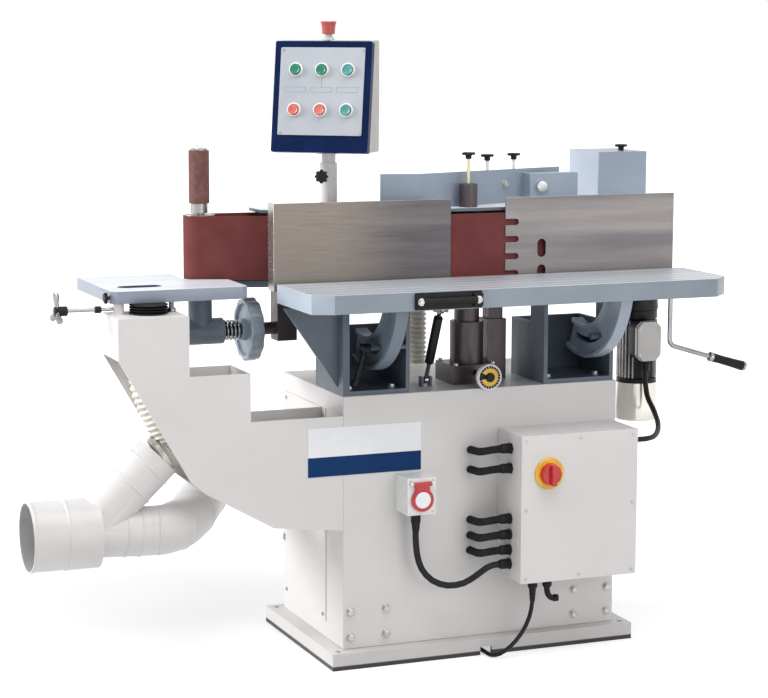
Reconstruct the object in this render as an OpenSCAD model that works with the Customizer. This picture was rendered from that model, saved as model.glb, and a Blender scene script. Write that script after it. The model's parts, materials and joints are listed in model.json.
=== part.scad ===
// Edge sander: a long vertical sanding belt on a lifting head, with a tilting work table,
// a small end table over a dust tower, and a control panel on a post.
// Millimetres. Origin on the floor at the middle of the base, X along the table, Y to the rear.

/* [Base and pedestal] */
// Width of the base tray along X
base_w = 776; // [740:2:860]
// Depth of the base tray along Y
base_d = 474; // [450:2:540]
// Height of the base tray
base_h = 40; // [36:1:60]
// Wall of the base tray
base_wall = 10; // [8:1:14]
// Diameter of the floor bolt holes
anchor_d = 14; // [10:1:18]
// Distance of the floor bolt holes from the edges
anchor_inset = 22; // [20:1:30]
// Width of the pedestal
pedestal_w = 702; // [690:2:720]
// Depth of the pedestal
pedestal_d = 412; // [400:2:430]
// Height of the pedestal's top over the floor
pedestal_top = 635; // [625:1:640]
// Sheet thickness of the pedestal
pedestal_wall = 5; // [3:1:8]

/* [Side arm] */
// Reach of the arm from the pedestal to the far side of the tower
arm_reach = 526; // [515:1:540]
// Depth of the arm
arm_d = 140; // [136:1:146]
// Height of the tower's top over the floor
arm_top = 837; // [832:1:840]
// Width of the tower
tower_w = 162; // [156:1:166]
// Sheet thickness of the arm
arm_wall = 5; // [3:1:7]

/* [Work table] */
// Length of the table
table_l = 1055; // [1020:5:1060]
// Depth of the table
table_d = 248; // [240:1:260]
// Height of the apron of the table
table_t = 43; // [40:1:48]
// Thickness of the table's top plate
table_plate_t = 18; // [14:1:20]
// Height of the table's top over the floor
table_top = 889; // [887:1:892]
// Gap between the table and the fence
table_gap = 18; // [16:1:24]

/* [Sanding head] */
// Width of the sanding belt, which runs on edge
belt_w = 150; // [140:2:160]
// Thickness of the sanding belt
belt_t = 1.6; // [1.2:0.1:2.4]
// Radius of the driven drum
drive_r = 70; // [64:1:72]
// Radius of the tension drum
idle_r = 36; // [32:1:38]
// Distance between the two drums along the table
drum_span = 1124; // [1100:2:1130]
// Length of the flat platen
platen_l = 180; // [160:2:190]
// Stroke of the head's lift
lift_stroke = 80; // [60:1:80]
// Radius of the sanding sleeve on top of the tension drum
sleeve_r = 24; // [20:1:28]
// Height of the sanding sleeve
sleeve_h = 123; // [100:1:130]

/* [Fences] */
// Height of the fences
fence_h = 202; // [190:1:210]
// Length of the left fence
fence_left_l = 442; // [420:2:444]
// Length of the right fence
fence_right_l = 455; // [440:1:460]
// Length of belt left bare between the fences
fence_gap = 142; // [136:1:160]
// Thickness of the fence plates
fence_t = 4; // [3:1:6]

/* [Drive motor] */
// Radius of the motor's body
motor_r = 50; // [46:1:52]
// Length of the motor above its fan cover
motor_l = 276; // [260:1:290]
// Length of the fan cover
fan_l = 97; // [80:1:105]

/* [Electrics] */
// Width of the electric box
box_w = 302; // [290:1:310]
// Height of the electric box
box_h = 349; // [340:1:360]
// Depth of the electric box
box_d = 130; // [120:1:136]
// Sheet thickness of the electric box
box_wall = 3; // [2:0.5:4]
// Diameter of the mains lead
mains_d = 10; // [9:0.5:10.5]
// Diameter of the socket cable
socket_cable_d = 15; // [14:0.5:15.5]
// Diameter of the motor cable
motor_cable_d = 13; // [12:0.5:13.5]

/* [Dust extraction] */
// Outer radius of the duct's mouth
mouth_r = 78; // [72:1:80]
// Outer radius of the two duct branches
branch_r = 56; // [52:1:58]
// Sheet thickness of the ducts
duct_wall = 2; // [1.5:0.5:3]
// Outer radius of the ribbed hoses
hose_r = 42; // [40:1:44]

/* [Control panel] */
// Width of the panel
panel_w = 244; // [240:1:258]
// Height of the panel
panel_h = 268; // [260:1:276]
// Depth of the panel's housing
panel_d = 70; // [64:1:80]
// Turn of the panel to the left, in degrees
panel_yaw = 39; // [30:1:42]
// Lean of the panel's face to the rear, in degrees
panel_lean = 9; // [6:1:11]
// Radius of the panel's post
post_r = 21; // [20:0.5:23]
// Radius of a push button
button_r = 13; // [11:0.5:14]

/* [End table] */
// Length of the end table along X
end_table_l = 320; // [310:1:324]
// Depth of the end table along Y
end_table_d = 311; // [300:1:316]
// Thickness of the end table
end_table_t = 28; // [24:1:28]

/* [Hidden] */
$fn = 64;

// Clearances and cutting overrun
over = 1;
run_fit = 0.05;
seat_gap = 0.3;
belt_gap = 0.5;
slide_gap = 0.5;

// Base
notch_w = 30;
notch_h = 20;
notch_x = 0;
anchor_boss_r = anchor_d;
base_y = base_d / 2;

// Pedestal
pedestal_x = pedestal_w / 2;
pedestal_y = pedestal_d / 2;
front_bolt_r = 8;
front_bolt_h = 6;
washer_r = 11;
washer_h = 2;
bolt_side_shares = [0.72, 0.98];
bolt_height_shares = [0.047, 0.148];

// Side arm, an open trough with a tower at its end
arm_y0 = -pedestal_y;
arm_y1 = arm_y0 + arm_d;
arm_x0 = -pedestal_x - arm_reach;
tower_x1 = arm_x0 + tower_w;
arm_low = 323;
arm_rise = arm_top - arm_low;
step_share = 0.578;
step_x = arm_x0 + arm_reach * step_share;
upper_step_share = 0.736;
lower_step_share = 0.52;
slant_share = 0.82;
upper_step_z = arm_low + arm_rise * upper_step_share;
lower_step_z = arm_low + arm_rise * lower_step_share;
slant_z = arm_low + arm_rise * slant_share;
belly_x_shares = [0.31, 0.376, 0.68];
belly_z_shares = [0.27, 0.214, 0.037];
tower_x = arm_x0 + tower_w / 2;
tower_y = arm_y0 + arm_d / 2;

// Work table
table_x = 48;
table_x0 = table_x - table_l / 2;
table_x1 = table_x + table_l / 2;
fence_y = -101;
belt_front_y = fence_y + fence_t + seat_gap;
table_rear = fence_y - table_gap;
table_front = table_rear - table_d;
table_under = table_top - table_t;
table_soffit = table_top - table_plate_t;
apron_t = 12;
chamfer_l = 47;
chamfer_d = 20;
table_handle_l = 163;
table_handle_h = 38;
table_handle_d = 12;
table_handle_set = 318;
table_handle_x = table_x0 + table_handle_set;

// Table trunnions: arcs about the table's rear top edge, clamped in the two support boxes
arc_r0 = 128;
arc_r1 = 208;
arc_t = 12;
rim_t = 10;
rim_w = 30;
slot_r = 165;
slot_w = 14;
arc_from = -24;
arc_to = 78;
table_tilt = 45;
stud_angle = 27;
stud_r = 6;
slot_spare = 4;
saddle_w = 50;
saddle_share = 0.9;
arc_left_set = 97;
arc_right_set = 30;

// Support boxes
support_wall = 10;
support_set = 6;
support_left_set = 2;
support_gap = 8;
support_front = -pedestal_y + support_set;
support_rear = -30;
support_top = table_under - support_gap;
support_step_y = table_rear - support_set;
support_step_drop = 11;
support_left_w = 165;
support_left_x = -pedestal_x + support_left_set;
support_left = [support_left_x, support_left_x + support_left_w];
support_clear = 45;
support_flange = 16;
support_flange_t = 8;
gusset_t = 10;
gusset_reach = 129;
gusset_foot = 15;
gusset_set = 35;
stud_y = table_rear - slot_r * sin(stud_angle);
stud_z = table_top - slot_r * cos(stud_angle);
lever_hub_r = 13;
lever_hub_l = 20;
lever_arm_r = 6;
lever_grip_r = 8;
lever_reach = 84;
lever_lean = 18;

// Gas spring under the table
gas_shift = 0.25;
gas_foot_y = -131;
gas_foot_h = 15;
gas_foot_z = pedestal_top + gas_foot_h;
gas_top_y = -218;
gas_top_z = 835;
gas_body_r = 11;
gas_rod_r = 5;
gas_pin_r = 4;
gas_eye_r = 18;
gas_eye_bore = 13;
gas_eye_t = 10;
gas_lug_t = 6;
gas_lug_gap = 3;
gas_lug_half = 14;
gas_foot_r = 9;
gas_run = [0, gas_top_y - gas_foot_y, gas_top_z - gas_foot_z];
gas_l = norm(gas_run);
gas_lean = atan2(-gas_run[1], gas_run[2]);
gas_body_l = 126;
gas_body_end = 30;

// Lift column under the head
column_x = 10;
column_y = -86;
column_r = 40;
ram_r = 30;
column_block = [113, 112, 45];
column_drop = 66;
column_floor_t = 4;
column_top = table_under - column_drop;
column_floor = pedestal_top + column_floor_t;
guide_x = 90;
guide_y = -60;
guide_w = 50;
guide_wall = 6;
support_right = [guide_x + guide_w / 2 + support_clear, pedestal_x - support_set];
arc_left_x = support_left[0] + arc_left_set;
arc_right_x = support_right[1] - arc_right_set;
gas_x = (support_left[1] + column_x - column_block[0] / 2) / 2 + gas_shift;
lift_motor_r = 55;
lift_motor_l = 200;
lift_neck_r = 25;
dial_h = 27;
dial_z = pedestal_top + dial_h;
dial_r = 31;
dial_t = 14;
dial_gap = 2;
dial_shaft_r = 6;
dial_bore_l = 20;
dial_rim = 5;

// Sanding head
belt_dip = 4;
belt_low = table_top - belt_dip;
belt_high = belt_low + belt_w;
drum_end_gap = 1;
drive_x = 526;
drive_y = 15;
idle_x = drive_x - drum_span;
idle_y = 90;
platen_x = 30;
platen_round = 14;
plate_t = 16;
plate_gap = 3;
plate_high = belt_low - plate_gap;
plate_low = plate_high - plate_t;
cover_gap = 5;
cover_t = 8;
cover_low = belt_high + cover_gap;
cover_high = cover_low + cover_t;
plate_inset = 4;
cover_set = 130;
cover_from = idle_x + cover_set;
drive_shaft_r = 20;
drive_spindle_r = 12;
coupling_l = 12;
idle_shaft_r = 14;
idle_spindle_r = 12;
belt_slack = 20;
shaft_slot_gap = 3;
shaft_slot_r = idle_shaft_r + shaft_slot_gap;
column_posts = [[-330, 30], [60, -20], [330, 20]];
column_post_r = 14;
ear_w = 60;
ear_left_shares = [0.2, 0.85];
ear_right_shares = [0.12, 0.8];

sleeve_lift = 28;
sleeve_low = belt_high + sleeve_lift;
outline_wide_share = 0.9;
outline_narrow_share = 0.2;
outline_end_share = 0.8;
cover_end_share = 0.7;
notch_bend_shares = [0.3, 0.2];

// Fences
fence_dip = 19;
fence_shift = 2;
fence_low = table_top - fence_dip;
fence_left_x1 = platen_x - fence_gap / 2 + fence_shift;
fence_left_x0 = fence_left_x1 - fence_left_l;
fence_right_x0 = fence_left_x1 + fence_gap;
fence_right_x1 = fence_right_x0 + fence_right_l;
fence_return = 40;
fence_slot_h = 15;
fence_slot_l = 27;
fence_slot_pitch = 41;
fence_slot_low = 12;
fence_window_w = 22;
fence_window_h = 44;
fence_window_x = 85;
fence_window_lows = [-14, 48];

// Belt tension: a sliding casting with a spring and a handwheel on a bar
tension_z = 760;
bar_r = 15;
casting_r = 31;
casting_l = 102;
casting_post_r = 28;
casting_set = 54;
casting_right = idle_x + casting_set;
casting_top_gap = 6;
shaft_hold = 48;
wheel_r = 76;
wheel_t = 45;
wheel_rim = 14;
wheel_hub_r = 26;
wheel_web_t = 16;
spring_room = 44;
bracket_room = 41;
wheel_hub_x = casting_right + spring_room;
bracket_x0 = wheel_hub_x + wheel_t + bracket_room;
bracket_w = 49;
bracket_d = 50;
bracket_drop = 29;
bar_tail = 14;
spring_wire_r = 3;
spring_r = 22;
spring_turns = 4;

// Hoods on the cover
hood_wall = 4;
hood_h = 82;
hood_top = cover_high + hood_h;
hood_route = [[-195, -41], [-107, -66], [336, 84]];
hood_bracket = [130, 45, 72];
hood_bracket_x = 215;
hood_bracket_y = 0;
hood_bolt_set = 30;
hood_bolt_r = 15;
hood_bolt_h = 8;
hood_bolt_share = 0.57;
funnel = [-58, 68, 118, 300];
funnel_set = 20;
funnel_low = belt_low + funnel_set;
spigot_r = hose_r - hood_wall;
spigot_x = 5;
spigot_y = 250;
spigot_l = 40;
end_hood_w = 135;
end_hood_d = 160;
end_hood_h = 118;
end_hood_x = 425;
end_hood_y = 45;
chute_y = 100;
chute_low = table_top;
screw_x = 26;
screw_y = -54;
screw_r = 4;
screw_h = 130;
screw_top = cover_high + screw_h;
screw_knob_r = 17;
screw_knob_h = 14;
screw_guide_r = 22;
screw_guide_h = 56;

// Drive motor
motor_low = plate_low - motor_l;
motor_flange_out = 14;
motor_flange_r = motor_r + motor_flange_out;
motor_flange_t = 16;
motor_flare = 6;
terminal_w = 66;
terminal_h = 100;
terminal_d = 52;
terminal_shift = 14;
terminal_set = 62;
terminal_x = drive_x - terminal_shift;
terminal_low = motor_low + terminal_set;
terminal_seat = 12;

// Electric box, main switch and glands
box_x0 = 40;
box_x1 = box_x0 + box_w;
box_y0 = -pedestal_y - box_d;
box_low = 190;
box_cover_t = 14;
switch_set = 70;
switch_drop = 91;
switch_x = box_x0 + switch_set;
switch_z = box_low + box_h - switch_drop;
switch_plate_r = 37;
switch_plate_t = 5;
switch_r = 25;
switch_t = 16;
switch_grip_w = 12;
switch_grip_t = 12;
switch_shaft_r = 5;
gland_r = 11;
gland_l = 26;
gland_out = 71;
gland_y = -pedestal_y - gland_out;
gland_height_shares = [0.894, 0.759, 0.415, 0.307, 0.203];
conduit_r = 8;
conduit_reach = 72;
socket_gland_set = 37;
mains_gland_set = 60;
conduit_x = box_x0 - conduit_reach;
socket_gland_z = box_low + socket_gland_set;
mains_gland_x = box_x0 + mains_gland_set;
motor_gland_z = 500;
socket_x0 = -220;
socket_w = 70;
socket_d = 71;
socket_h = 87;
socket_z0 = 361;
socket_hole_r = 21;
socket_hole_d = 40;
socket_hole_set = 36;
socket_hole_z = socket_z0 + socket_hole_set;
lid_t = 7;
lid_w = 54;
lid_r = 27;
lid_neck_w = 34;
hinge_r = 4;
hinge_pin_r = 2;
hinge_gap = 1;
lid_hinge_set = 74;
lid_hinge_z = socket_z0 + lid_hinge_set;

// Cord routes, chosen by hand: x, y, z of points along each cord
mains_route = [[100, -277, 164], [100, -277, 130], [92, -278, 92], [70, -282, 56],
    [40, -285, 28], [14, -282, 12], [2, -264, 6], [0, -240, 5], [0, -160, 5], [0, -60, 5],
    [0, 60, 5], [0, 160, 5], [0, 240, 5], [0, 280, 5], [0, 322, 5]];
socket_route = [[-185, -241.5, 335], [-185, -241.5, 322], [-185, -242, 296], [-182, -244, 260],
    [-172, -248, 226], [-148, -254, 198], [-112, -261, 184], [-74, -268, 188], [-44, -274, 205],
    [-20, -276.6, 221], [0, -277, 227], [14, -277, 227]];
motor_route = [[512, -58, 626], [512, -58, 612], [512, -60, 592], [512, -72, 562], [510, -106, 536],
    [496, -154, 514], [468, -204, 502], [432, -250, 499], [402, -272, 499.4], [380, -277, 500],
    [368, -277, 500]];
mains_steps = 3;
cable_steps = 4;

// Coil of the length that is put away behind the base
coil_mean_r = 55;
coil_room = 0.8;
coil_pitch = mains_d + coil_room;
coil_layer_turns = 2.625;
coil_sides = 6;
coil_rings = 24;
coil_spread = coil_pitch * coil_layer_turns / 2;
coil_x = notch_x + coil_mean_r + coil_spread;
coil_y = 322;
coil_climb = 0.25;
coil_tail = 96;
coil_tail_rings = 6;
plug_r = 26;
plug_l = 62;
plug_nose_r = 22;
plug_nose_l = 34;
plug_grip_r = 13;
plug_grip_l = 34;

// Ducts
mouth_reach = 195;
mouth_x = arm_x0 - mouth_reach;
duct_y = tower_y;
mouth_z = 352;
mouth_l = 130;
junction_x = mouth_x + mouth_l;
mouth_spigot_l = 82;
mouth_step = 1;
junction_lap = 25;
branch_step = 1;
branch_trim = 5;
upper_set = 24;
lower_set = 2;
upper_end = [tower_x + upper_set, 515];
lower_end = [tower_x - lower_set, 345];
duct_foot_z = 600;
duct_run_shares = [0, 19, 38, 83, 128, 178, 228, 288, 368, 468, 568, 658, 730, 776, 798, 803] / 803;
duct_swing_shares = [0, 0, 0, 26, 86, 176, 266, 350, 390, 402, 404, 402, 398, 392, 387, 386] / 386;
duct_rise_shares = [0, 0, 0, 3, 9, 17, 27, 39, 51, 59, 63, 69, 91, 135, 195, 255] / 255;
duct_route = [for (i = [0 : len(duct_run_shares) - 1])
    [lower_end[0] + (spigot_x - lower_end[0]) * duct_run_shares[i],
    duct_y + (spigot_y - duct_y) * duct_swing_shares[i],
    lower_end[1] + (duct_foot_z - lower_end[1]) * duct_rise_shares[i]]];
duct_steps = 2;
rear_hose_ribs = 22;
rib_h = 5;
hose_wall = 3;
tower_hose_ribs = 24;
bellows_shift = 11;
bellows_set = 60;
bellows_x = tower_x + bellows_shift;
bellows_y = arm_y1 - bellows_set;
bellows_rx = 44;
bellows_ry = 46;
bellows_folds = 4;
bellows_dip_share = 0.86;
bellows_bore_share = 0.72;
bellows_sides = 32;
tower_hole_r = 22;
tower_hose_gap = 2;
tower_hose_y = arm_y1 - arm_wall - hose_r - tower_hose_gap;

// End table
end_table_top = table_top;
end_table_low = end_table_top - end_table_t;
end_table_set = 7;
end_table_x0 = arm_x0 + end_table_set;
end_table_x1 = end_table_x0 + end_table_l;
end_table_y0 = -130;
end_table_y1 = end_table_y0 + end_table_d;
end_chamfer = 14;
notch_gap = 8;
end_post_r = 6;
end_post_l = 70;
end_post_left_set = 27;
end_post_right_set = 13;
end_post_rear_set = 46;
end_post_xs = [arm_x0 + end_post_left_set, tower_x1 - end_post_right_set];
end_post_y = arm_y1 - end_post_rear_set;
end_hole_r = 22;
end_hole_l = 60;
end_hole_shift = 14;
end_hole_x = tower_x + end_hole_shift;
end_hole_y = -45;
clamp_boss_r = 12;
wing_z_share = 0.5;
wing_rod_r = 4;
wing_rod_l = 110;
wing_hub_r = 11;
wing_hub_l = 30;
wing_arm_l = 40;
wing_arm_r = 8;

// Crank lever under the table
crank_x = 470;
crank_y = -250;
crank_r = 6;
crank_drop = 127;
crank_reach = 109;
crank_fall = 33;
grip_l = 108;
grip_r = 12;
crank_hub_r = 14;
crank_hub_h = 14;
crank_socket = 10;
crank_knuckle_r = 8;

// Control panel
post_set = 110;
post_x = -pedestal_x + post_set;
post_y = 180;
post_flange_r = 25;
post_flange_t = 12;
post_top = 1145;
post_wall = 4;
stem_r = post_r - post_wall;
stem_low = 900;
panel_low = 1172;
panel_mid = panel_low + panel_h / 2;
bezel_t = 22;
bezel_lip = 4;
stem_seat = 30;
plate_edge = 16;
plate_foot = 41;
plate_out = 2;
button_out = 8;
button_in = 10;
button_travel = 4;
button_ring_w = 4;
button_shoulder = 3;
button_ring_r = button_r + button_ring_w;
button_bore = button_r - button_shoulder;
button_column_shares = [-0.27, 0.0, 0.27];
button_row_shares = [0.24, -0.12];
stop_r = 19.5;
stop_foot_r = 15.5;
stop_h = 31;
stop_collar_r = 13;
stop_collar_h = 8;
stop_stem_r = 9;
stop_stem_l = 20;
stop_travel = 6;
star_drop = 31;
star_z = post_top - star_drop;
star_turn = 45;
star_r = 17;
star_t = 18;
star_stem_r = 4;
star_stem_l = 22;
star_boss_r = 9;
star_boss_l = 10;
star_lobes = 8;
star_lobe_r = 5;

// Helpers
module slab(low, high) {
    translate(low) cube(high - low);
}
module rod_x(r, x0, x1, y, z) {
    translate([x0, y, z]) rotate([0, 90, 0]) cylinder(r = r, h = x1 - x0);
}
module rod_y(r, y0, y1, x, z) {
    translate([x, y0, z]) rotate([-90, 0, 0]) cylinder(r = r, h = y1 - y0);
}
module rod_z(r, z0, z1, x, y) {
    translate([x, y, z0]) cylinder(r = r, h = z1 - z0);
}
// A rod from one point to another
module rod_between(a, b, r) {
    d = b - a;
    translate(a) rotate([0, acos(d[2] / norm(d)), atan2(d[1], d[0])]) cylinder(r = r, h = norm(d));
}
// A ring sector about the table's tilt axis, from one angle to another, counted forward from straight down
module tilt_arc(r0, r1, w, from, to, x) {
    translate([x - w / 2, table_rear, table_top]) rotate([0, 90, 0]) rotate([0, 0, -to])
        rotate_extrude(angle = to - from, $fn = 96) translate([r0, 0]) square([r1 - r0, w]);
}

// Swept tubes
function unit(v) = v / norm(v);
function curve_point(a, b, c, d, t) =
    (2 * b + (c - a) * t + (2 * a - 5 * b + 4 * c - d) * t * t + (3 * b - a - 3 * c + d) * t * t * t) / 2;
function curve(p, steps) = [
    for (i = [0 : len(p) - 2], s = [0 : steps - 1])
        curve_point(p[max(i - 1, 0)], p[i], p[i + 1], p[min(i + 2, len(p) - 1)], s / steps),
    p[len(p) - 1]];
function heading(p, i) = unit(p[min(i + 1, len(p) - 1)] - p[max(i - 1, 0)]);
function carried(side, along) = unit(side - along * (side * along));
function first_side(along) = carried(abs(along[2]) < 0.9 ? [0, 0, 1] : [1, 0, 0], along);
function sides_along(p, i = 0, side = undef) =
    let (now = i == 0 ? first_side(heading(p, 0)) : carried(side, heading(p, i)))
    i == len(p) - 1 ? [now] : concat([now], sides_along(p, i + 1, now));
function ring(centre, along, side, r, n) = let (other = cross(along, side))
    [for (k = [0 : n - 1]) centre + r * (cos(360 * k / n) * side + sin(360 * k / n) * other)];
function skin_points(p, radii, n) = let (s = sides_along(p))
    [for (i = [0 : len(p) - 1]) each ring(p[i], heading(p, i), s[i], radii[i], n)];
function skin_faces(rings, n, start, out) = [
    for (i = [0 : rings - 2], k = [0 : n - 1])
        let (a = start + i * n + k, b = start + i * n + (k + 1) % n, c = a + n, d = b + n)
        each (out ? [[a, c, d], [a, d, b]] : [[a, d, c], [a, b, d]])];
module solid_tube(p, r, n) {
    rings = len(p);
    caps = concat([for (k = [1 : n - 2]) [0, k, k + 1]],
        [for (k = [1 : n - 2]) let (e = (rings - 1) * n) [e, e + k + 1, e + k]]);
    polyhedron(skin_points(p, [for (q = p) r], n), concat(skin_faces(rings, n, 0, true), caps));
}
// A hollow skin: outer and inner points, ring by ring, closed at both ends
module hollow_skin(outer, inner, rings, n) {
    e = rings * n;
    last = (rings - 1) * n;
    ends = [for (k = [0 : n - 1]) let (m = (k + 1) % n)
        each [[k, m, e + m], [k, e + m, e + k],
            [last + k, e + last + m, last + m], [last + k, e + last + k, e + last + m]]];
    polyhedron(concat(outer, inner),
        concat(skin_faces(rings, n, 0, true), skin_faces(rings, n, e, false), ends));
}
module hollow_tube(p, outer, inner, n) {
    hollow_skin(skin_points(p, outer, n), skin_points(p, inner, n), len(p), n);
}

// Base and pedestal
module base_plate() {
    color("white") difference() {
        union() {
            difference() {
                slab([-base_w / 2, -base_y, 0], [base_w / 2, base_y, base_h]);
                slab([-base_w / 2 + base_wall, -base_y + base_wall, -over],
                    [base_w / 2 - base_wall, base_y - base_wall, base_h - base_wall]);
            }
            for (sx = [-1, 1], sy = [-1, 1])
                rod_z(anchor_boss_r, 0, base_h, sx * (base_w / 2 - anchor_inset),
                    sy * (base_y - anchor_inset));
        }
        for (sx = [-1, 1], sy = [-1, 1])
            rod_z(anchor_d / 2, -over, base_h + over, sx * (base_w / 2 - anchor_inset),
                sy * (base_y - anchor_inset));
        slab([notch_x - notch_w / 2, -base_y - over, -over], [notch_x + notch_w / 2, base_y + over,
            notch_h]);
    }
}
module pedestal() {
    color("whitesmoke") difference() {
        slab([-pedestal_x, -pedestal_y, base_h], [pedestal_x, pedestal_y, pedestal_top]);
        slab([-pedestal_x + pedestal_wall, -pedestal_y + pedestal_wall, base_h - over],
            [pedestal_x - pedestal_wall, pedestal_y - pedestal_wall, pedestal_top - pedestal_wall]);
        rod_z(lift_neck_r + slide_gap, pedestal_top - pedestal_wall - over, pedestal_top + over,
            column_x, column_y);
    }
}
// Outline of the arm in X and Z, with the tower at the left
function arm_outline() = [[arm_x0, arm_top], [tower_x1, arm_top], [tower_x1, upper_step_z],
    [step_x, upper_step_z], [step_x, lower_step_z], [-pedestal_x, lower_step_z], [-pedestal_x, arm_low],
    for (i = [2, 1, 0]) [arm_x0 + arm_reach * belly_x_shares[i], arm_low + arm_rise * belly_z_shares[i]],
    [arm_x0, slant_z]];
// The hollow of the arm, open along both steps and along the tower's slanted side
function arm_hollow() = [[arm_x0 + arm_wall, arm_top - arm_wall], [tower_x1 - arm_wall, arm_top - arm_wall],
    [tower_x1 - arm_wall, upper_step_z + over], [step_x - arm_wall, upper_step_z + over],
    [step_x - arm_wall, lower_step_z], [step_x, lower_step_z], [step_x, lower_step_z + over],
    [-pedestal_x + over, lower_step_z + over], [-pedestal_x + over, arm_low + arm_wall],
    for (i = [2, 1]) [arm_x0 + arm_reach * belly_x_shares[i],
        arm_low + arm_rise * belly_z_shares[i] + arm_wall],
    [arm_x0 + arm_reach * belly_x_shares[0], arm_low + arm_rise * belly_z_shares[0] - over],
    [arm_x0 - over, slant_z - over], [arm_x0 + arm_wall, slant_z + over]];
module side_arm() {
    color("gainsboro") difference() {
        union() {
            translate([0, arm_y1, 0]) rotate([90, 0, 0]) linear_extrude(arm_d) polygon(arm_outline());
            rod_z(clamp_boss_r, arm_top - over, end_table_low - seat_gap, end_post_xs[0], end_post_y);
        }
        translate([0, arm_y1 - arm_wall, 0]) rotate([90, 0, 0]) linear_extrude(arm_d - 2 * arm_wall)
            polygon(arm_hollow());
        rod_z(tower_hole_r, arm_top - arm_wall - over, arm_top + over, bellows_x, bellows_y);
        for (x = end_post_xs)
            rod_z(end_post_r + run_fit, arm_top - arm_wall - over, end_table_low + over, x, end_post_y);
        rod_x(wing_rod_r + run_fit, arm_x0, end_post_xs[0], end_post_y, wing_z);
    }
}
wing_z = arm_top + (end_table_low - arm_top) * wing_z_share;

module hex_bolt_y(x, y, z) {
    translate([x, y, z]) rotate([90, 0, 0]) {
        cylinder(r = washer_r, h = washer_h);
        cylinder(r = front_bolt_r, h = washer_h + front_bolt_h, $fn = 6);
    }
}
module hex_bolt_z(x, y, z) {
    translate([x, y, z]) {
        cylinder(r = washer_r, h = washer_h);
        cylinder(r = front_bolt_r, h = washer_h + front_bolt_h, $fn = 6);
    }
}
module frame_bolts() {
    color("silver") {
        for (s = [-1, 1], a = bolt_side_shares, b = bolt_height_shares)
            hex_bolt_y(s * (pedestal_x - washer_r) * a, -pedestal_y,
                base_h + (pedestal_top - base_h) * b);
        for (side = [support_left, support_right], x = [side[0] + support_flange + washer_r,
            side[1] - 2 * support_flange])
            hex_bolt_z(x, support_front + gusset_set, pedestal_top + support_wall);
    }
}

// Table supports, with the studs that clamp the trunnion arcs
support_rear_top = plate_low - lift_stroke - support_step_drop;
function support_profile() = [[support_front, pedestal_top], [support_front, support_top],
    [support_step_y, support_top], [support_step_y, support_rear_top], [support_rear, support_rear_top],
    [support_rear, pedestal_top]];
module support_wall_at(x) {
    translate([x, 0, 0]) rotate([90, 0, 90]) linear_extrude(support_wall) polygon(support_profile());
}
module support_boxes() {
    color("slategray") {
        for (side = [support_left, support_right]) {
            slab([side[0], support_front, pedestal_top], [side[1], support_rear,
                pedestal_top + support_wall]);
            support_wall_at(side[0]);
            support_wall_at(side[1] - support_wall);
            slab([side[0], support_rear + seat_gap, pedestal_top],
                [side[1], support_rear + seat_gap + support_wall, support_rear_top]);
        }
        slab([support_left[0], support_front, pedestal_top],
            [support_left[0] + support_flange, support_front + support_flange_t, support_top]);
        translate([0, support_front + gusset_set + gusset_t, 0]) rotate([90, 0, 0]) linear_extrude(gusset_t)
            polygon([[support_left[0] + over, support_top], [support_left[0] - gusset_reach, support_top],
                [support_left[0] + over, pedestal_top + gusset_foot]]);
        rod_x(stud_r, arc_left_x - rim_w - lever_hub_l, support_left[1] - support_wall / 2, stud_y, stud_z);
        rod_x(stud_r, arc_right_x - rim_w, support_right[1] - support_wall / 2, stud_y, stud_z);
        rod_x(front_bolt_r, arc_right_x - rim_w, arc_right_x - rim_w / 2, stud_y, stud_z);
        for (s = [-1, 1]) let (x = gas_x + s * (gas_eye_t / 2 + gas_lug_gap + gas_lug_t / 2))
            slab([x - gas_lug_t / 2, gas_foot_y - gas_foot_r, pedestal_top],
                [x + gas_lug_t / 2, gas_foot_y + gas_foot_r, gas_foot_z + gas_foot_r]);
        rod_x(gas_pin_r, gas_x - gas_eye_t, gas_x + gas_eye_t, gas_foot_y, gas_foot_z);
    }
}
module clamp_lever() {
    x1 = arc_left_x - rim_w;
    foot = [x1 - lever_hub_l / 2, stud_y, stud_z] + lever_reach * [-sin(lever_lean), 0, -cos(lever_lean)];
    elbow = [x1 - lever_hub_l / 2, stud_y, stud_z] + lever_hub_r * [-sin(lever_lean), 0, -cos(lever_lean)];
    color("black") difference() {
        union() {
            rod_x(lever_hub_r, x1 - lever_hub_l, x1, stud_y, stud_z);
            rod_between(elbow, foot, lever_arm_r);
            translate(foot) sphere(r = lever_grip_r);
        }
        rod_x(stud_r + run_fit, x1 - lever_hub_l - over, x1 + over, stud_y, stud_z);
    }
}

// Lift column, guide and lift motor
module lift_column() {
    low = [column_x - column_block[0] / 2, column_y - column_block[1] / 2, pedestal_top];
    color("dimgray") difference() {
        union() {
            slab(low, low + column_block);
            rod_z(column_r, pedestal_top, column_top, column_x, column_y);
            slab([guide_x - guide_w / 2, guide_y - guide_w / 2, pedestal_top],
                [guide_x + guide_w / 2, guide_y + guide_w / 2, column_top]);
            rod_z(lift_neck_r, pedestal_top - pedestal_wall - over, pedestal_top + over, column_x,
                column_y);
            rod_z(lift_motor_r, pedestal_top - pedestal_wall - lift_motor_l, pedestal_top - pedestal_wall,
                column_x, column_y);
        }
        rod_z(ram_r + run_fit, column_floor, column_top + over, column_x, column_y);
        slab([guide_x - guide_w / 2 + guide_wall, guide_y - guide_w / 2 + guide_wall, column_floor],
            [guide_x + guide_w / 2 - guide_wall, guide_y + guide_w / 2 - guide_wall, column_top + over]);
        rod_y(dial_shaft_r + run_fit, low[1] - over, low[1] + dial_bore_l, column_x, dial_z);
    }
}
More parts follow.
